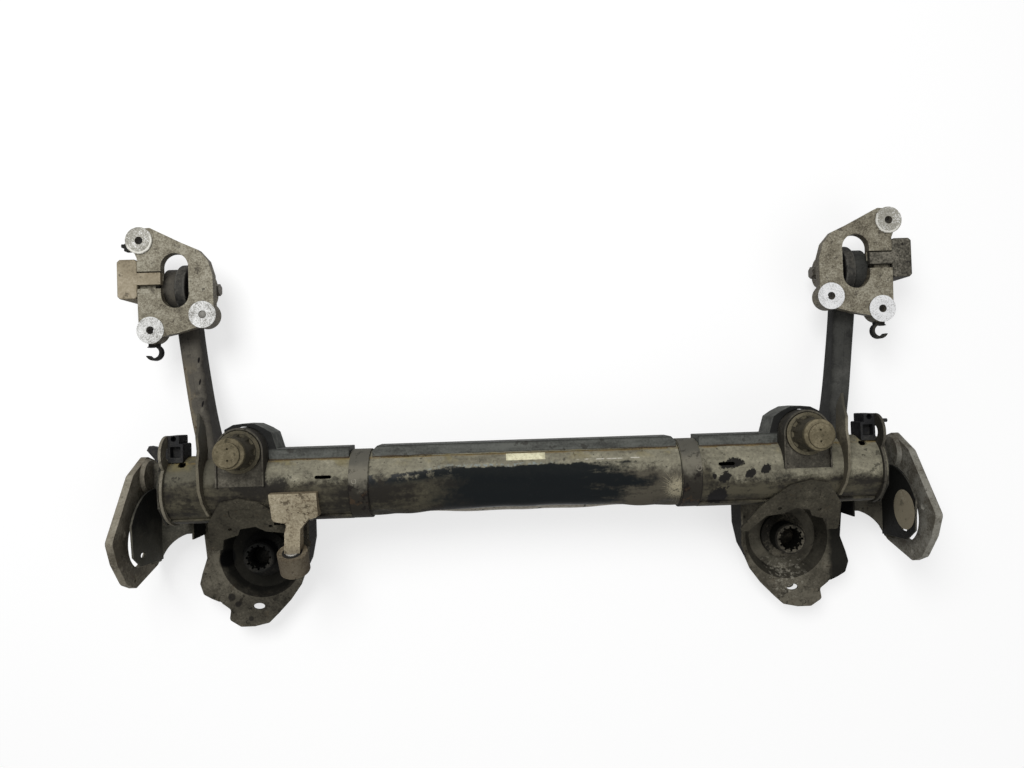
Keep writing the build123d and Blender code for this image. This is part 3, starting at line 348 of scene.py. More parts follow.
# Golden primer along the channels' joint, mossy dirt ahead of it, and a dark line at each collar.
joint_ahead, collar_edge_x = 0.0482, 0.2812
gold = ahead.line(joint_ahead, 0.0050) * (t.noise(26, 4, shift=2) + grain * 0.3).over(0.38, 0.60)
colour = t.mix(gold * 0.75, colour, tint(0.200, 0.140, 0.055))
moss = ahead.over(0.030, 0.044) * (t.noise(17, 4, 0.6, shift=27) + grain * 0.2).over(0.50, 0.62)
colour = t.mix(moss * 0.45, colour, tint(0.230, 0.190, 0.080))
collar_edge = t.x.size().line(collar_edge_x, 0.0026) * (t.on_right() * 0.7 + 0.3)
colour = t.mix(collar_edge, colour, tint(0.006, 0.006, 0.006))
t.rough_skin(t.noise(260, 3, 0.6) * (1 - wiped * 0.9) + specks * 0.6, 0.0004)
t.coat(colour, 0.66 - wiped * 0.33 + ragged * 0.25)
dress("cross_tube", tube_finish, edge=0.0)
for side in ("left", "right"):
    dress(side + "_tube_shell", tube_finish, edge=0.0008)

t = collar_finish = Finish("collar_finish")
ahead = t.y - tube_axis_y
ragged = t.noise(38, 6, 0.66, shift=1) - 0.5
grain = t.noise(200, 4, 0.7, shift=6) - 0.5
# Dust ahead, dark paint behind, and the step also painted light and shade: front lit, rear shaded.
dusty_and_lit = (ahead + ragged * 0.055 + grain * 0.02).over(-0.012, 0.022)
colour = t.mix(dusty_and_lit, tint(0.028, 0.025, 0.020), tint(0.172, 0.160, 0.126))
grey_front = (ahead + ragged * 0.03).over(0.026, 0.044)
colour = t.mix(grey_front * 0.8, colour, tint(0.085, 0.082, 0.070))
blots = (t.noise(40, 5, 0.64, shift=8) + grain * 0.3).over(0.55, 0.62)
colour = t.mix(blots * (1 - dusty_and_lit * 0.5), colour, tint(0.011, 0.009, 0.008))
rust = t.noise(55, 5, 0.66, shift=18).over(0.57, 0.66) * ahead.over(0.0, -0.02)
colour = t.mix(rust * 0.45, colour, tint(0.085, 0.052, 0.028))
rim_inner_x, rim_outer_x, rim_width = 0.2832, 0.3168, 0.0022
rim = t.x.size().line(rim_inner_x, rim_width).larger(t.x.size().line(rim_outer_x, rim_width))
colour = t.mix(rim * ahead.over(0.020, -0.010) * 0.85, colour, tint(0.007, 0.006, 0.006))
t.rough_skin(t.noise(240, 3, 0.6) + blots * 0.5, 0.0005)
t.coat(colour, 0.68 + ragged * 0.2)
for side in ("left", "right"):
    dress(side + "_collar", collar_finish, edge=0.0008)


# Weld spots, beads and sticker. A ring of weld closes each collar's filler hole, and thin rusted
# beads hold the channels. A cream paper label is stuck on the tube's front slope.
def new_piece(name, shape, finish, body_node="cross_tube"):
    """A finished mesh as a piece of a node's body, its faces turned outwards."""
    bmesh.ops.recalc_face_normals(shape, faces=shape.faces)
    for face in shape.faces:
        face.smooth = True
    mesh = bpy.data.meshes.new(name)
    shape.to_mesh(mesh)
    shape.free()
    piece = show(bpy.data.objects.new(name, mesh))
    mesh.materials.append(finish.material)
    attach(piece, body_of(frame["nodes"][body_node])[0])


def disc(shape, radius, segments, place=Matrix()):
    """A flat round face, from which a piece is drawn on, stepped or thickened."""
    made = bmesh.ops.create_circle(
        shape, cap_ends=True, segments=segments, radius=radius, matrix=place
    )
    return made["verts"][0].link_faces[0]


def weathered(made, low, mid, high, seed, lean=0.6, grit=1.0, blot=0.7, rust=0.0):
    """Three tones of dirt over a surface: broad clouds, ragged patches, grit, spots and pits."""
    broad = made.noise(11, 4, 0.55, shift=seed) - 0.5
    ragged = made.noise(36, 6, 0.66, shift=seed + 2) - 0.5
    grain = made.noise(230, 4, 0.7, shift=seed + 4) - 0.5
    tone = 0.5 + broad * 1.6 + ragged * 1.3 + grain * (1.1 * grit) + (made.up - 0.75) * lean
    colour = made.mix(tone.over(0.05, 0.55), tint(*low), tint(*mid))
    colour = made.mix(tone.over(0.50, 1.05), colour, tint(*high))
    soot = tint(*(part * 0.45 for part in low))
    spots = made.noise(52, 5, 0.66, shift=seed + 6).over(0.60, 0.67)
    pits = made.noise(190, 3, 0.6, shift=seed + 8).over(0.62, 0.70)
    colour = made.mix(spots.larger(pits * 0.8) * blot, colour, soot)
    if rust:
        bloom = made.noise(44, 5, 0.68, shift=seed + 12).over(0.59, 0.68)
        colour = made.mix(bloom * rust, colour, tint(0.150, 0.085, 0.038))
    made.rough_skin(made.noise(240, 4, 0.6) + ragged + spots * 0.4, 0.0005)
    made.grime = 0.68 + ragged * 0.5
    return colour


def worn(name, low, mid, high, seed, metallic=0.0, shine=0.08, roughness=None, **more):
    """A finish that is weathered all over and has no marks of its own."""
    made = Finish(name, metallic, shine)
    colour = weathered(made, low, mid, high, seed, **more)
    made.coat(colour, made.grime if roughness is None else roughness)
    return made


bead_radius = 0.0011
bead_finish = worn(
    "bead_finish", (0.040, 0.030, 0.018), (0.120, 0.090, 0.045), (0.220, 0.170, 0.085), 51.0,
    roughness=0.75,
)


def bead(name, places):
    """A lumpy weld run through the given places, drawn on ring by ring from a small disc."""
    lumps = random.Random(len(name))
    shape = bmesh.new()
    stops = [Vector(place) for place in places]
    steps = []
    step_length = bead_radius * 2.2
    for start, end in zip(stops, stops[1:]):
        count = max(1, round((end - start).length / step_length))
        steps += [start.lerp(end, i / count) for i in range(count)]
    steps.append(stops[-1])
    turn = (steps[1] - steps[0]).to_track_quat("Z", "Y").to_matrix().to_4x4()
    cap = disc(shape, bead_radius, 8, Matrix.Translation(steps[0]) @ turn)
    for past, here in zip(steps, steps[1:]):
        grown = bmesh.ops.extrude_face_region(shape, geom=[cap])["geom"]
        verts = [part for part in grown if isinstance(part, bmesh.types.BMVert)]
        cap = [part for part in grown if isinstance(part, bmesh.types.BMFace)][0]
        bmesh.ops.translate(shape, vec=here - past, verts=verts)
        wanted = bead_radius * lumps.uniform(0.75, 1.2)
        now = (verts[0].co - here).length
        bmesh.ops.scale(
            shape, vec=(wanted / now,) * 3, verts=verts, space=Matrix.Translation(-here)
        )
    new_piece(name, shape, bead_finish)


tube_shape = bmesh.new()
tube_shape.from_mesh(frame["nodes"]["cross_tube"].data)
tube_surface = BVHTree.FromBMesh(tube_shape)
tube_shape.free()
joint_y = tube_axis_y + 0.0487
above_tube = 0.3
for name, first, last in (
    ("middle_joint_bead", -0.262, 0.262),
    ("left_joint_bead", -0.452, -0.334),
    ("right_joint_bead", 0.334, 0.452),
):
    places = []
    for across in (first, first * 0.7 + last * 0.3, first * 0.3 + last * 0.7, last):
        start = Vector((across, joint_y, above_tube))
        place = tube_surface.ray_cast(start, Vector((0, 0, -1)))[0]
        places.append((across, joint_y, place.z))
    bead(name, places)

collar_radius = (collar_high.y - collar_low.y) / 2
ring_sunk = 0.0002
ring_finish = worn(
    "ring_finish", (0.120, 0.105, 0.080), (0.200, 0.185, 0.150), (0.330, 0.310, 0.260), 55.0,
    roughness=0.7,
)
for side, across, along, radius in (
    ("left", -0.3070, 0.0090, 0.0040),
    ("right", 0.3115, 0.0130, 0.0048),
):
    shape = bmesh.new()
    upright = Matrix.Translation((radius, 0, 0)) @ Matrix.Rotation(math.pi / 2, 4, "X")
    bmesh.ops.create_circle(shape, segments=8, radius=bead_radius, matrix=upright)
    bmesh.ops.spin(
        shape, geom=shape.verts[:] + shape.edges[:], angle=2 * math.pi, steps=20,
        axis=(0, 0, 1), cent=(0, 0, 0), use_merge=True,
    )
    lean = Matrix.Rotation(-math.asin(along / collar_radius), 4, "X")
    rise = math.sqrt(collar_radius**2 - along**2) - ring_sunk
    place = Matrix.Translation((across, tube_axis_y + along, tube_axis_z + rise))
    bmesh.ops.transform(shape, matrix=place @ lean, verts=shape.verts)
    new_piece(side + "_weld_ring", shape, ring_finish)

t = sticker_finish = Finish("sticker_finish", shine=0.4)
wear = t.noise(140, 4, 0.6, shift=60)
colour = t.mix(wear.over(0.42, 0.70), tint(0.780, 0.745, 0.520), tint(0.520, 0.480, 0.310))
t.rough_skin(t.noise(300, 3, 0.5), 0.0001)
t.coat(colour, 0.55)
sticker_length, sticker_width, sticker_x = 0.0710, 0.0150, 0.0010
sticker_lean = math.radians(43.0)
tube_radius, outside_tube = 0.0600, 0.09
paper, glue = 0.0001, 0.0003
shape = bmesh.new()
bmesh.ops.create_grid(
    shape, x_segments=8, y_segments=6, size=0.5,
    matrix=Matrix.Diagonal((sticker_length, sticker_width, 1, 1)),
)
bmesh.ops.translate(shape, vec=(sticker_x, 0.0, 0.0), verts=shape.verts)
for vert in shape.verts:
    angle = sticker_lean + vert.co.y / tube_radius
    outward = Vector((0, math.sin(angle), math.cos(angle)))
    start = Vector((vert.co.x, tube_axis_y, tube_axis_z)) + outward * outside_tube
    place, facing = tube_surface.ray_cast(start, -outward)[:2]
    vert.co = place + facing * glue
bmesh.ops.solidify(shape, geom=shape.faces[:], thickness=paper)
new_piece("blank_sticker", shape, sticker_finish)


# Channels. Folded 3 mm sheet welded along the tube's front: one in the middle, one each side.
# They keep a matt grey primer, with rust along the cut edges and a little pale dust.
sheet_edge_y = tube_axis_y + 0.0505
t = channel_finish = Finish("channel_finish")
ragged = t.noise(24, 6, 0.64, shift=4) - 0.5
streaks = t.noise(60, 5, 0.62, shift=5, stretch=(0.18, 1, 1)) - 0.5
grain = t.noise(240, 4, 0.7, shift=6) - 0.5
tone = 0.45 + t.up * 0.2 + ragged * 1.6 + streaks * 1.8 + grain * 1.2
colour = t.mix(tone.over(0.1, 1.1), tint(0.046, 0.047, 0.043), tint(0.122, 0.126, 0.114))
blots = t.noise(45, 4, 0.6, shift=9).over(0.60, 0.67)
colour = t.mix(blots * 0.7, colour, tint(0.034, 0.032, 0.028))
brown_edge = (t.y + ragged * 0.004).line(sheet_edge_y, 0.0040) * t.up.over(0.3, 0.8)
colour = t.mix(brown_edge * 0.75, colour, tint(0.060, 0.036, 0.016))
# Painted shade: the up-facing floor inside the arch is painted near black.
arch_shade = (t.y + ragged * 0.004).over(-0.041, -0.035) * t.up.over(0.5, 0.9)
colour = t.mix(arch_shade * 0.92, colour, tint(0.010, 0.010, 0.010))
t.rough_skin(t.noise(300, 3, 0.6) + streaks * 0.5, 0.00025)
t.coat(colour, 0.66 + ragged * 0.25)
dress("front_channel", channel_finish, edge=0.0010)
for side in ("left", "right"):
    dress(side + "_side_channel", channel_finish, edge=0.0010)


# Saddles and bump stops. Pressed horseshoes over the tube, with a moulded ribbed cone on each.
# The elastomer is olive-beige under dust, and its cap has two vent holes.
saddle_finish = worn(
    "saddle_finish", (0.024, 0.022, 0.018), (0.066, 0.060, 0.048), (0.150, 0.138, 0.108), 2.0
)
stop_finish = worn(
    "stop_finish", (0.034, 0.030, 0.021), (0.082, 0.072, 0.048), (0.150, 0.132, 0.088), 6.0,
    lean=0.9,
)
cap_finish = worn(
    "cap_finish", (0.052, 0.045, 0.028), (0.125, 0.106, 0.066), (0.230, 0.198, 0.128), 8.0,
    roughness=0.74,
)
for side in ("left", "right"):
    dress(side + "_saddle", saddle_finish, edge=0.0012)
    dress(side + "_bump_stop", stop_finish, edge=0.0012)
    dress(side + "_bump_cap", cap_finish, edge=0.0006)


# Trailing arms. Two pressed half shells each, seam-welded along the top and bottom.
# The left one keeps a beige crust on its outer flank and three short gaps in its seam.
t = left_arm_finish = Finish("left_arm_finish")
colour = weathered(
    t, (0.034, 0.031, 0.027), (0.082, 0.075, 0.063), (0.120, 0.110, 0.088), 14.0,
    grit=0.6, blot=0.4,
)
flank = (-t.sideways + (t.noise(40, 5, 0.6, shift=3) - 0.5) * 1.2).over(-0.05, 0.35)
flank = flank * t.y.over(0.160, 0.090)
colour = t.mix(flank * 0.8, colour, tint(0.165, 0.142, 0.100))
scabs = t.noise(90, 4, 0.66, shift=31).over(0.58, 0.64) * flank
colour = t.mix(scabs, colour, tint(0.060, 0.036, 0.020))
for across, along in ((-0.6215, 0.1354), (-0.6141, 0.0923), (-0.6028, 0.0499)):
    weld_scar = t.spot(across + 0.0006, along - 0.0110, 0.0030, 0.0050) * (1 - scabs * 0.5)
    colour = t.mix(weld_scar * 0.4, colour, tint(0.170, 0.155, 0.125))
    colour = t.mix(t.spot(across, along, 0.0018, 0.0060), colour, tint(0.006, 0.005, 0.005))
t.coat(colour, t.grime)
right_arm_finish = worn(
    "right_arm_finish", (0.020, 0.020, 0.019), (0.048, 0.048, 0.044), (0.082, 0.081, 0.074), 19.0,
    grit=0.6, blot=0.4,
)
t = side_plate_finish = Finish("side_plate_finish")
colour = weathered(t, (0.070, 0.062, 0.045), (0.140, 0.125, 0.090), (0.230, 0.208, 0.155), 12.0)
colour = t.mix(t.y.over(-0.030, 0.010) * 0.7, colour, tint(0.052, 0.050, 0.042))
t.coat(colour, t.grime)
for side, finish in (("left", left_arm_finish), ("right", right_arm_finish)):
    dress(side + "_arm_outer_shell", finish, edge=0.0)
    dress(side + "_arm_inner_shell", finish, edge=0.0)
    dress(side + "_eye_ring", finish, edge=0.0)
    dress(side + "_arm_side_plate", side_plate_finish, edge=0.0010)


# Front bushes. Matt black rubber with one wide lip, a bright sleeve through it, and a plated
# bolt and nut that clamp the sleeve in the bracket.
sleeve_low, sleeve_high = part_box("right_bush_sleeve")
bush_y = (sleeve_low.y + sleeve_high.y) / 2
bush_z = (sleeve_low.z + sleeve_high.z) / 2
lip_radius, lip_face_x = 0.0488, 0.6585
t = bush_finish = Finish("bush_finish")
colour = weathered(
    t, (0.010, 0.010, 0.010), (0.034, 0.033, 0.030), (0.095, 0.088, 0.074), 17.0, blot=0.3
)
from_axis = ((t.y - bush_y) * (t.y - bush_y) + (t.z - bush_z) * (t.z - bush_z)).root()
lip_ring = from_axis.line(lip_radius, 0.0030) * t.noise(60, 3, shift=1).over(0.36, 0.52)
colour = t.mix(lip_ring * 0.7, colour, tint(0.130, 0.125, 0.112))
lip_edge = t.x.size().line(lip_face_x, 0.0022) * t.noise(40, 4, 0.6, shift=8).over(0.38, 0.50)
colour = t.mix(lip_edge * 0.6, colour, tint(0.150, 0.140, 0.118))
t.coat(colour, 0.62)
rubber_finish = worn(
    "rubber_finish", (0.007, 0.007, 0.007), (0.022, 0.021, 0.019), (0.060, 0.056, 0.046), 24.0
)
plated_finish = worn(
    "plated_finish", (0.060, 0.050, 0.038), (0.150, 0.138, 0.115), (0.330, 0.315, 0.280), 29.0,
    metallic=0.55, shine=0.4, roughness=0.50, lean=0.3,
)
sleeve_finish = worn(
    "sleeve_finish", (0.180, 0.165, 0.135), (0.460, 0.440, 0.400), (0.700, 0.690, 0.660), 33.0,
    metallic=0.7, shine=0.5, roughness=0.42, blot=0.4,
)
for side in ("left", "right"):
    dress(side + "_bush_rubber", bush_finish, edge=0.0)
    dress(side + "_bush_sleeve", sleeve_finish, edge=0.0004)
    dress(side + "_pivot_bolt", plated_finish, edge=0.0006)
    dress(side + "_pivot_nut", plated_finish, edge=0.0006)


# Front brackets. Sand-cast light alloy, oxidised and speckled, with three bosses faced off bright.
# A pressed nut keeper is clipped over the outer wall, a small hook for the hose sits in front, and
# a grey plug closes the hole in the left bracket's inner rear boss.
bracket_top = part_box("right_front_bracket")[1].z
facing_depth = 0.0009
front_boss_x, front_boss_y, boss_rim_radius = 0.7140, 0.3617, 0.0225
t = alloy_finish = Finish("alloy_finish", metallic=0.1, shine=0.3)
broad = t.noise(16, 4, 0.55, shift=5) - 0.5
ragged = t.noise(58, 6, 0.68, shift=6) - 0.5
sand = t.noise(330, 4, 0.75, shift=2) - 0.5
tone = 0.52 + (t.up - 0.8) * 0.5 + broad * 1.2 + ragged * 1.6 + sand * 2.6
colour = t.mix(tone.over(0.0, 0.55), tint(0.060, 0.050, 0.034), tint(0.190, 0.170, 0.122))
colour = t.mix(tone.over(0.50, 1.05), colour, tint(0.340, 0.318, 0.250))
blots = t.noise(70, 5, 0.68, shift=15).over(0.585, 0.65)
colour = t.mix(blots * 0.8, colour, tint(0.050, 0.042, 0.030))
machined = (t.z - bracket_top + facing_depth).over(0.0, 0.0004)
front_boss = t.y.over(0.300, 0.330)
right_side = t.on_right()
bright = t.mix(right_side, tint(0.580, 0.580, 0.560), tint(0.780, 0.785, 0.790))
bright = t.mix(front_boss, bright, tint(0.330, 0.318, 0.270))
pepper = (t.noise(520, 3, 0.7, shift=21) - 0.5) * 1.6 + ragged * 0.9 + sand * 0.5
peppered = pepper.over(0.02, 0.20) * (0.85 - right_side * 0.35)
bright = t.mix(peppered, bright, tint(0.170, 0.162, 0.142))
bright = t.mix((-pepper).over(0.08, 0.22) * 0.7, bright, tint(0.880, 0.880, 0.870))
boss_across = t.x.size() - front_boss_x
boss_along = t.y - front_boss_y
rim = (boss_across * boss_across + boss_along * boss_along).root() + ragged * 0.004
rim_front = (boss_along + boss_across * 0.5 + ragged * 0.012).over(0.006, -0.006)
rim = rim.line(boss_rim_radius, 0.0045) * rim_front
bright = t.mix(rim * front_boss * 0.85, bright, tint(0.740, 0.725, 0.660))
colour = t.mix(machined, colour, bright)
cast_skin = t.noise(420, 4, 0.7) + blots * 0.4 + ragged * 0.5
t.rough_skin(cast_skin * (1 - machined * 0.8), 0.0008)
t.coat(colour, 0.62 - machined * 0.14 + ragged * 0.2)
left_keeper_finish = worn(
    "left_keeper_finish", (0.160, 0.132, 0.088), (0.300, 0.256, 0.180), (0.430, 0.375, 0.280),
    23.0, rust=0.3,
)
right_keeper_finish = worn(
    "right_keeper_finish", (0.024, 0.022, 0.019), (0.085, 0.079, 0.063), (0.200, 0.185, 0.150),
    37.0, grit=2.2, blot=0.9,
)
left_plug_finish = worn(
    "left_plug_finish", (0.130, 0.125, 0.112), (0.250, 0.243, 0.220), (0.380, 0.372, 0.345), 41.0
)
for side, finish in (("left", left_keeper_finish), ("right", right_keeper_finish)):
    dress(side + "_front_bracket", alloy_finish, edge=0.0016)
    dress(side + "_nut_keeper", finish, edge=0.0008)
    dress(side + "_hose_hook", rubber_finish, edge=0.0006)
dress("left_edge_clip", rubber_finish, edge=0.0006)

plug_radius, plug_thickness, plug_sunk = 0.0078, 0.0020, 0.0012
rear_boss_x, rear_boss_y = -0.5980, 0.2187
shape = bmesh.new()
disc(
    shape, plug_radius, 32,
    Matrix.Translation((rear_boss_x, rear_boss_y, bracket_top - plug_sunk)),
)
bmesh.ops.solidify(shape, geom=shape.faces[:], thickness=plug_thickness)
new_piece("left_boss_plug", shape, left_plug_finish, body_node="left_front_bracket")


# Hub plates and end brackets. Thick flame-cut plates, bare and pale under dust, on pressed boxes
# welded to the tube's ends. The boxes are black inside, and a pale stepped disc lies on the right
# one's wall. A damper lug stands off each tube end.
left_plate_finish = worn(
    "left_plate_finish", (0.100, 0.088, 0.066), (0.225, 0.203, 0.158), (0.330, 0.306, 0.245), 27.0,
    lean=0.3, rust=0.25,
)
right_plate_finish = worn(
    "right_plate_finish", (0.110, 0.100, 0.078), (0.250, 0.240, 0.205), (0.370, 0.360, 0.320), 28.0,
    lean=0.3, rust=0.15,
)
t = end_finish = Finish("end_finish")
colour = weathered(
    t, (0.010, 0.010, 0.009), (0.036, 0.034, 0.028), (0.115, 0.106, 0.083), 31.0,
    lean=1.0, rust=0.1,
)
clouds = (t.noise(34, 5, 0.62, shift=3) - 0.5) * 0.09
# The left box is lighter towards its rear, in clouds.
rear_lighter = (clouds - t.y).over(0.150, 0.235) * t.on_left()
colour = t.mix(rear_lighter * 0.6, colour, tint(0.098, 0.094, 0.074))
t.coat(colour, t.grime)
left_lug_finish = worn(
    "left_lug_finish", (0.080, 0.072, 0.054), (0.180, 0.163, 0.125), (0.280, 0.258, 0.205), 34.0
)
for side, plate, lug in (
    ("left", left_plate_finish, left_lug_finish),
    ("right", right_plate_finish, saddle_finish),
):
    dress(side + "_hub_plate", plate, edge=0.0010)
    dress(side + "_end_bracket", end_finish, edge=0.0008)
    dress(side + "_damper_lug", lug, edge=0.0010)


def step_in(shape, face, steps):
    """Rings inside a face, one after another, each as (distance inwards, rise)."""
    for inward, rise in steps:
        bmesh.ops.inset_region(shape, faces=[face], thickness=inward, depth=rise)


pad_finish = worn(
    "pad_finish", (0.280, 0.245, 0.175), (0.560, 0.510, 0.390), (0.800, 0.765, 0.660), 61.0,
    roughness=0.7, grit=1.8,
)
pad_radius = 0.0370
pad_x, pad_y, pad_z = 0.7049, -0.1880, 0.1475
pad_steps = ((0.0008, 0.0012), (0.0060, 0.0), (0.0006, -0.0008), (0.0012, 0.0), (0.0006, 0.0008))
shape = bmesh.new()
step_in(shape, disc(shape, pad_radius, 48), pad_steps)
place = Matrix.Translation((pad_x, pad_y, pad_z)) @ Matrix.Rotation(-math.pi / 2, 4, "Y")
bmesh.ops.transform(shape, matrix=place, verts=shape.verts)
new_piece("right_wall_pad", shape, pad_finish)


# Hose blocks and clips. Black moulded holders in front of the tube, pushed onto the damper lugs.
# Road grit greys their upper faces.
plastic_finish = worn(
    "plastic_finish", (0.004, 0.004, 0.005), (0.012, 0.012, 0.013), (0.045, 0.043, 0.038), 35.0,
    shine=0.2, blot=0.3,
)
for node in ("left_hose_block", "right_hose_block", "left_lug_clip", "right_lug_peg"):
    dress(node, plastic_finish, edge=0.0008)


# Spring pans. Pressed dishes behind the tube, with the crown plate over their front edge and a
# moulded seat in each. The low floors are patchy black, most on the left, partly clean paint and
# partly painted shade under the crown plates. The right dish's floor is painted a lighter mottled
# grey as light against its shade, and mud has nearly closed the right drain hole. Steep walls and
# the outer flange lobes are painted near black as shade. The flanges and the crown plates carry
# dried mud too.
dish_x, dish_y, dish_radius = 0.5170, -0.2492, 0.0840
salt_place, salt_reach = (0.515, -0.330, 0.030), 0.030
t = pan_finish = Finish("pan_finish", shine=0.03)
colour = weathered(
    t, (0.022, 0.020, 0.016), (0.066, 0.060, 0.046), (0.135, 0.123, 0.095), 39.0, rust=0.1
)
low_floor = (t.z + (t.noise(30, 5, 0.6, shift=9) - 0.5) * 0.04).over(0.050, 0.034)
# Partly painted shade: the low floor is patchy black paint, darkest on the left.
black_floor_and_shade = t.noise(24, 5, 0.62, shift=41) - 0.5 + t.on_left() * 0.16
black_floor_and_shade = low_floor * black_floor_and_shade.over(-0.10, 0.04)
mottled = t.noise(30, 5, 0.62, shift=17) - 0.5
# Painted light: the right dish's floor is lifted to a lighter mottled grey out of its shade.
right_dish_light = t.spot(dish_x, dish_y, dish_radius, dish_radius) * (mottled + 0.5).over(0.30, 0.55)
colour = t.mix(right_dish_light * 0.7, colour, tint(0.125, 0.115, 0.088))
colour = t.mix(black_floor_and_shade * (0.9 - t.on_right() * 0.6), colour, tint(0.007, 0.007, 0.006))
# Painted shade: the right pan's outer flange lobe is near black.
right_lobe_shade = (t.x + mottled * 0.02).over(0.594, 0.606)
colour = t.mix(right_lobe_shade * 0.92, colour, tint(0.010, 0.010, 0.009))
# Painted shade: steep walls are near black.
steep_wall_shade = t.up.over(0.75, 0.25)
colour = t.mix(steep_wall_shade * 0.8, colour, tint(0.007, 0.007, 0.007))
salt = t.near(salt_place, salt_reach, soft=0.6, wobble=0.9)
salt = salt * t.noise(120, 4, 0.7, shift=3).over(0.48, 0.60)
colour = t.mix(salt * 0.7, colour, tint(0.330, 0.310, 0.255))
# Painted shade: a near black patch on the left pan's outer flange lobe.
left_lobe_shade = t.spot(-0.589, -0.2555, 0.012, 0.018)
colour = t.mix(left_lobe_shade, colour, tint(0.004, 0.004, 0.004))
for across, along, reach in (
    (-0.578, -0.329, 0.0075),
    (-0.566, -0.343, 0.0060),
    (-0.541, -0.372, 0.0050),
):
    colour = t.mix(t.spot(across, along, reach, reach) * 0.8, colour, tint(0.014, 0.013, 0.012))
t.coat(colour, 0.66 - black_floor_and_shade * 0.2)
crown_finish = worn(
    "crown_finish", (0.018, 0.016, 0.012), (0.050, 0.045, 0.033), (0.110, 0.099, 0.073), 44.0,
    rust=0.1,
)
seat_finish = worn(
    "seat_finish", (0.006, 0.006, 0.005), (0.022, 0.020, 0.016), (0.120, 0.108, 0.082), 47.0,
    lean=1.0,
)
left_seat_finish = worn(
    "left_seat_finish", (0.003, 0.003, 0.003), (0.009, 0.009, 0.008), (0.034, 0.031, 0.026), 49.0,
    lean=0.6,
)
seats = (("left", left_seat_finish), ("right", seat_finish))
for side, finish in seats:
    dress(side + "_spring_pan", pan_finish, edge=0.0010)
    dress(side + "_crown_plate", crown_finish, edge=0.0008)
    dress(side + "_spring_seat", finish, edge=0.0008)

seat_plug_radius, seat_plug_rise, seat_plug_wall = 0.0205, 0.0060, 0.0020
seat_plug_steps = (
    (0.0040, 0.0), (0.0004, 0.0060), (0.0030, 0.0), (0.0004, -0.0050), (0.0050, -0.0010)
)
for side, finish in seats:
    low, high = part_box(side + "_spring_seat")
    middle = ((low.x + high.x) / 2, (low.y + high.y) / 2, low.z + seat_plug_rise)
    shape = bmesh.new()
    step_in(shape, disc(shape, seat_plug_radius, 40), seat_plug_steps)
    bmesh.ops.translate(shape, vec=middle, verts=shape.verts)
    bmesh.ops.solidify(shape, geom=shape.faces[:], thickness=seat_plug_wall)
    new_piece(side + "_seat_plug", shape, finish)

drain_place, mud_thickness = (0.5177, -0.3424, 0.0497), 0.0008
mud_half_across, mud_half_along = 0.0104, 0.0074
shape = bmesh.new()
oval = Matrix.Translation(drain_place) @ Matrix.Diagonal((mud_half_across, mud_half_along, 1, 1))
step_in(shape, disc(shape, 1.0, 28, oval), [(0.0025, -0.0004)])
bmesh.ops.solidify(shape, geom=shape.faces[:], thickness=mud_thickness)
new_piece("right_drain_mud", shape, pan_finish)


# Rod lug. A pale rough casting held to the left of the tube by two cap bolts, browner towards
# its rear end. The eye there has a black rubber bush and a bright sleeve.
t = lug_finish = Finish("lug_finish")
colour = weathered(
    t, (0.170, 0.136, 0.088), (0.345, 0.298, 0.208), (0.480, 0.425, 0.310), 57.0,
    grit=1.8, blot=0.8,
)
sand = (t.noise(150, 4, 0.75, shift=3) - 0.5).over(0.10, 0.17)
colour = t.mix(sand * 0.85, colour, tint(0.050, 0.030, 0.018))
eye_drop = t.y.over(-0.205, -0.235)
colour = t.mix(eye_drop * 0.75, colour, tint(0.072, 0.058, 0.042))
t.rough_skin(t.noise(380, 4, 0.7) + sand * 0.5, 0.0009)
t.coat(colour, 0.75)
dress("left_rod_lug", lug_finish, edge=0.0016)
dress("left_rod_bush", rubber_finish, edge=0.0005)
dress("left_rod_sleeve", sleeve_finish, edge=0.0005)
dress("left_rod_bolts", plated_finish, edge=0.0005)


# Floor, light and camera. A white floor that keeps the shadow, a wide soft light from high in
# front on the left, a weak one behind on the right, and the photograph's camera.
def seen_directly(wiring):
    """1 for a ray from the camera, a mirror or glass, and 0 for one that only carries light."""
    seen = wiring.node("ShaderNodeLightPath", out="Is Camera Ray")
    for ray in ("Is Glossy Ray", "Is Transmission Ray"):
        seen = seen.larger(wiring.node("ShaderNodeLightPath", out=ray))
    return seen


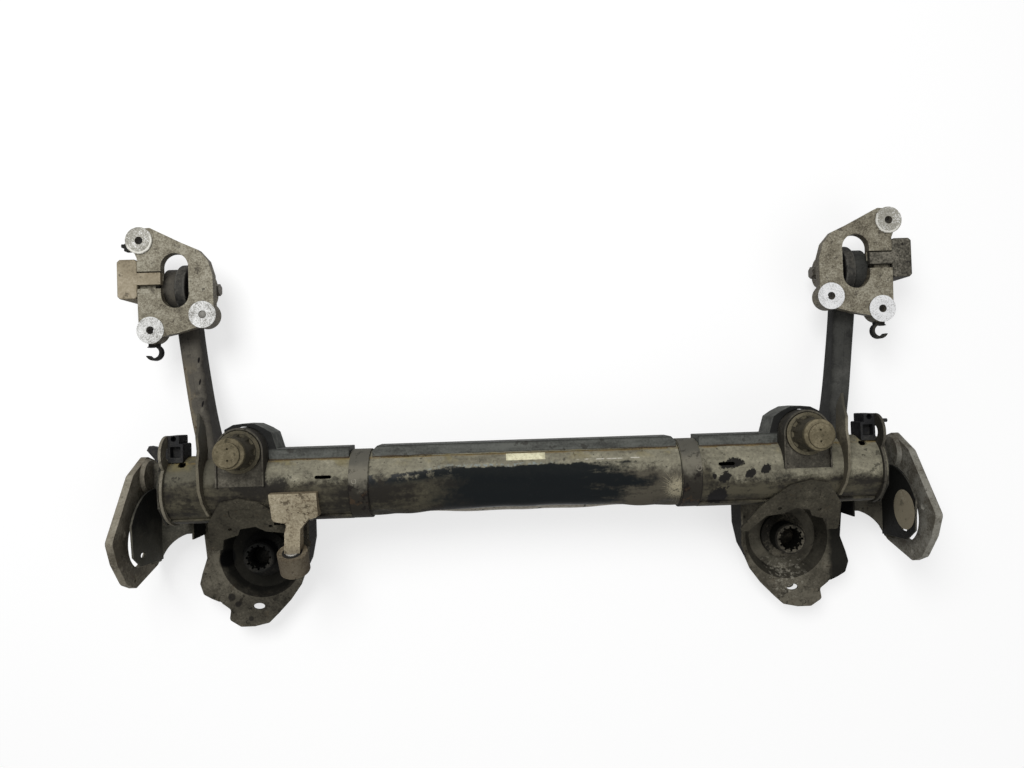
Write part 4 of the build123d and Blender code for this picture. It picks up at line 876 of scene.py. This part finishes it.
floor_half = 12.0
floor_grey = 0.38
floor_glow = 0.68
shape = bmesh.new()
bmesh.ops.create_grid(shape, x_segments=1, y_segments=1, size=floor_half)
floor_mesh = bpy.data.meshes.new("floor")
shape.to_mesh(floor_mesh)
shape.free()
floor = show(bpy.data.objects.new("floor", floor_mesh))
t = floor_finish = Finish("floor_finish", shine=0.0)
matt = t.node("ShaderNodeBsdfDiffuse", {}, {"Color": tint(floor_grey, floor_grey, floor_grey)})
glow = {"Color": tint(1, 1, 1), "Strength": seen_directly(t) * floor_glow}
glow = t.node("ShaderNodeEmission", {}, glow)
both = t.node("ShaderNodeAddShader", {}, {0: matt, 1: glow})
t.feed(t.tree.nodes["Material Output"], "Surface", both)
floor_mesh.materials.append(floor_finish.material)

world = bpy.data.worlds.new("studio")
bpy.context.scene.world = world
world.use_nodes = True
world_light, world_seen = 0.30, 1.0
sky = Wiring(world.node_tree)
sockets = {"Value": seen_directly(sky), "To Min": world_light, "To Max": world_seen}
background = sky.tree.nodes["Background"]
sky.feed(background, "Strength", sky.node("ShaderNodeMapRange", {}, sockets))
sky.feed(background, "Color", tint(1.0, 1.0, 1.0))


def softbox(name, place, size, power):
    part_middle = Vector((0.0, 0.0, 0.1))
    lamp = bpy.data.lights.new(name, "AREA")
    lamp.shape = "SQUARE"
    lamp.size = size
    lamp.energy = power
    holder = show(bpy.data.objects.new(name, lamp))
    holder.location = place
    holder.rotation_euler = (part_middle - Vector(place)).to_track_quat("-Z", "Y").to_euler()


softbox("key_light", (-0.9, 1.5, 2.9), 1.6, 72)
softbox("fill_light", (1.6, -1.2, 2.6), 2.2, 14)

view = bpy.data.cameras.new("photo_camera")
view.lens = 27.04
view.sensor_width = 36.0
camera = show(bpy.data.objects.new("photo_camera", view))
camera.location = (-0.0446, 0.0389, 1.5722)
camera.rotation_euler = Euler([math.radians(turn) for turn in (1.224, -0.994, -1.821)], "XYZ")
bpy.context.scene.camera = camera
bpy.context.scene.view_settings.view_transform = "Standard"
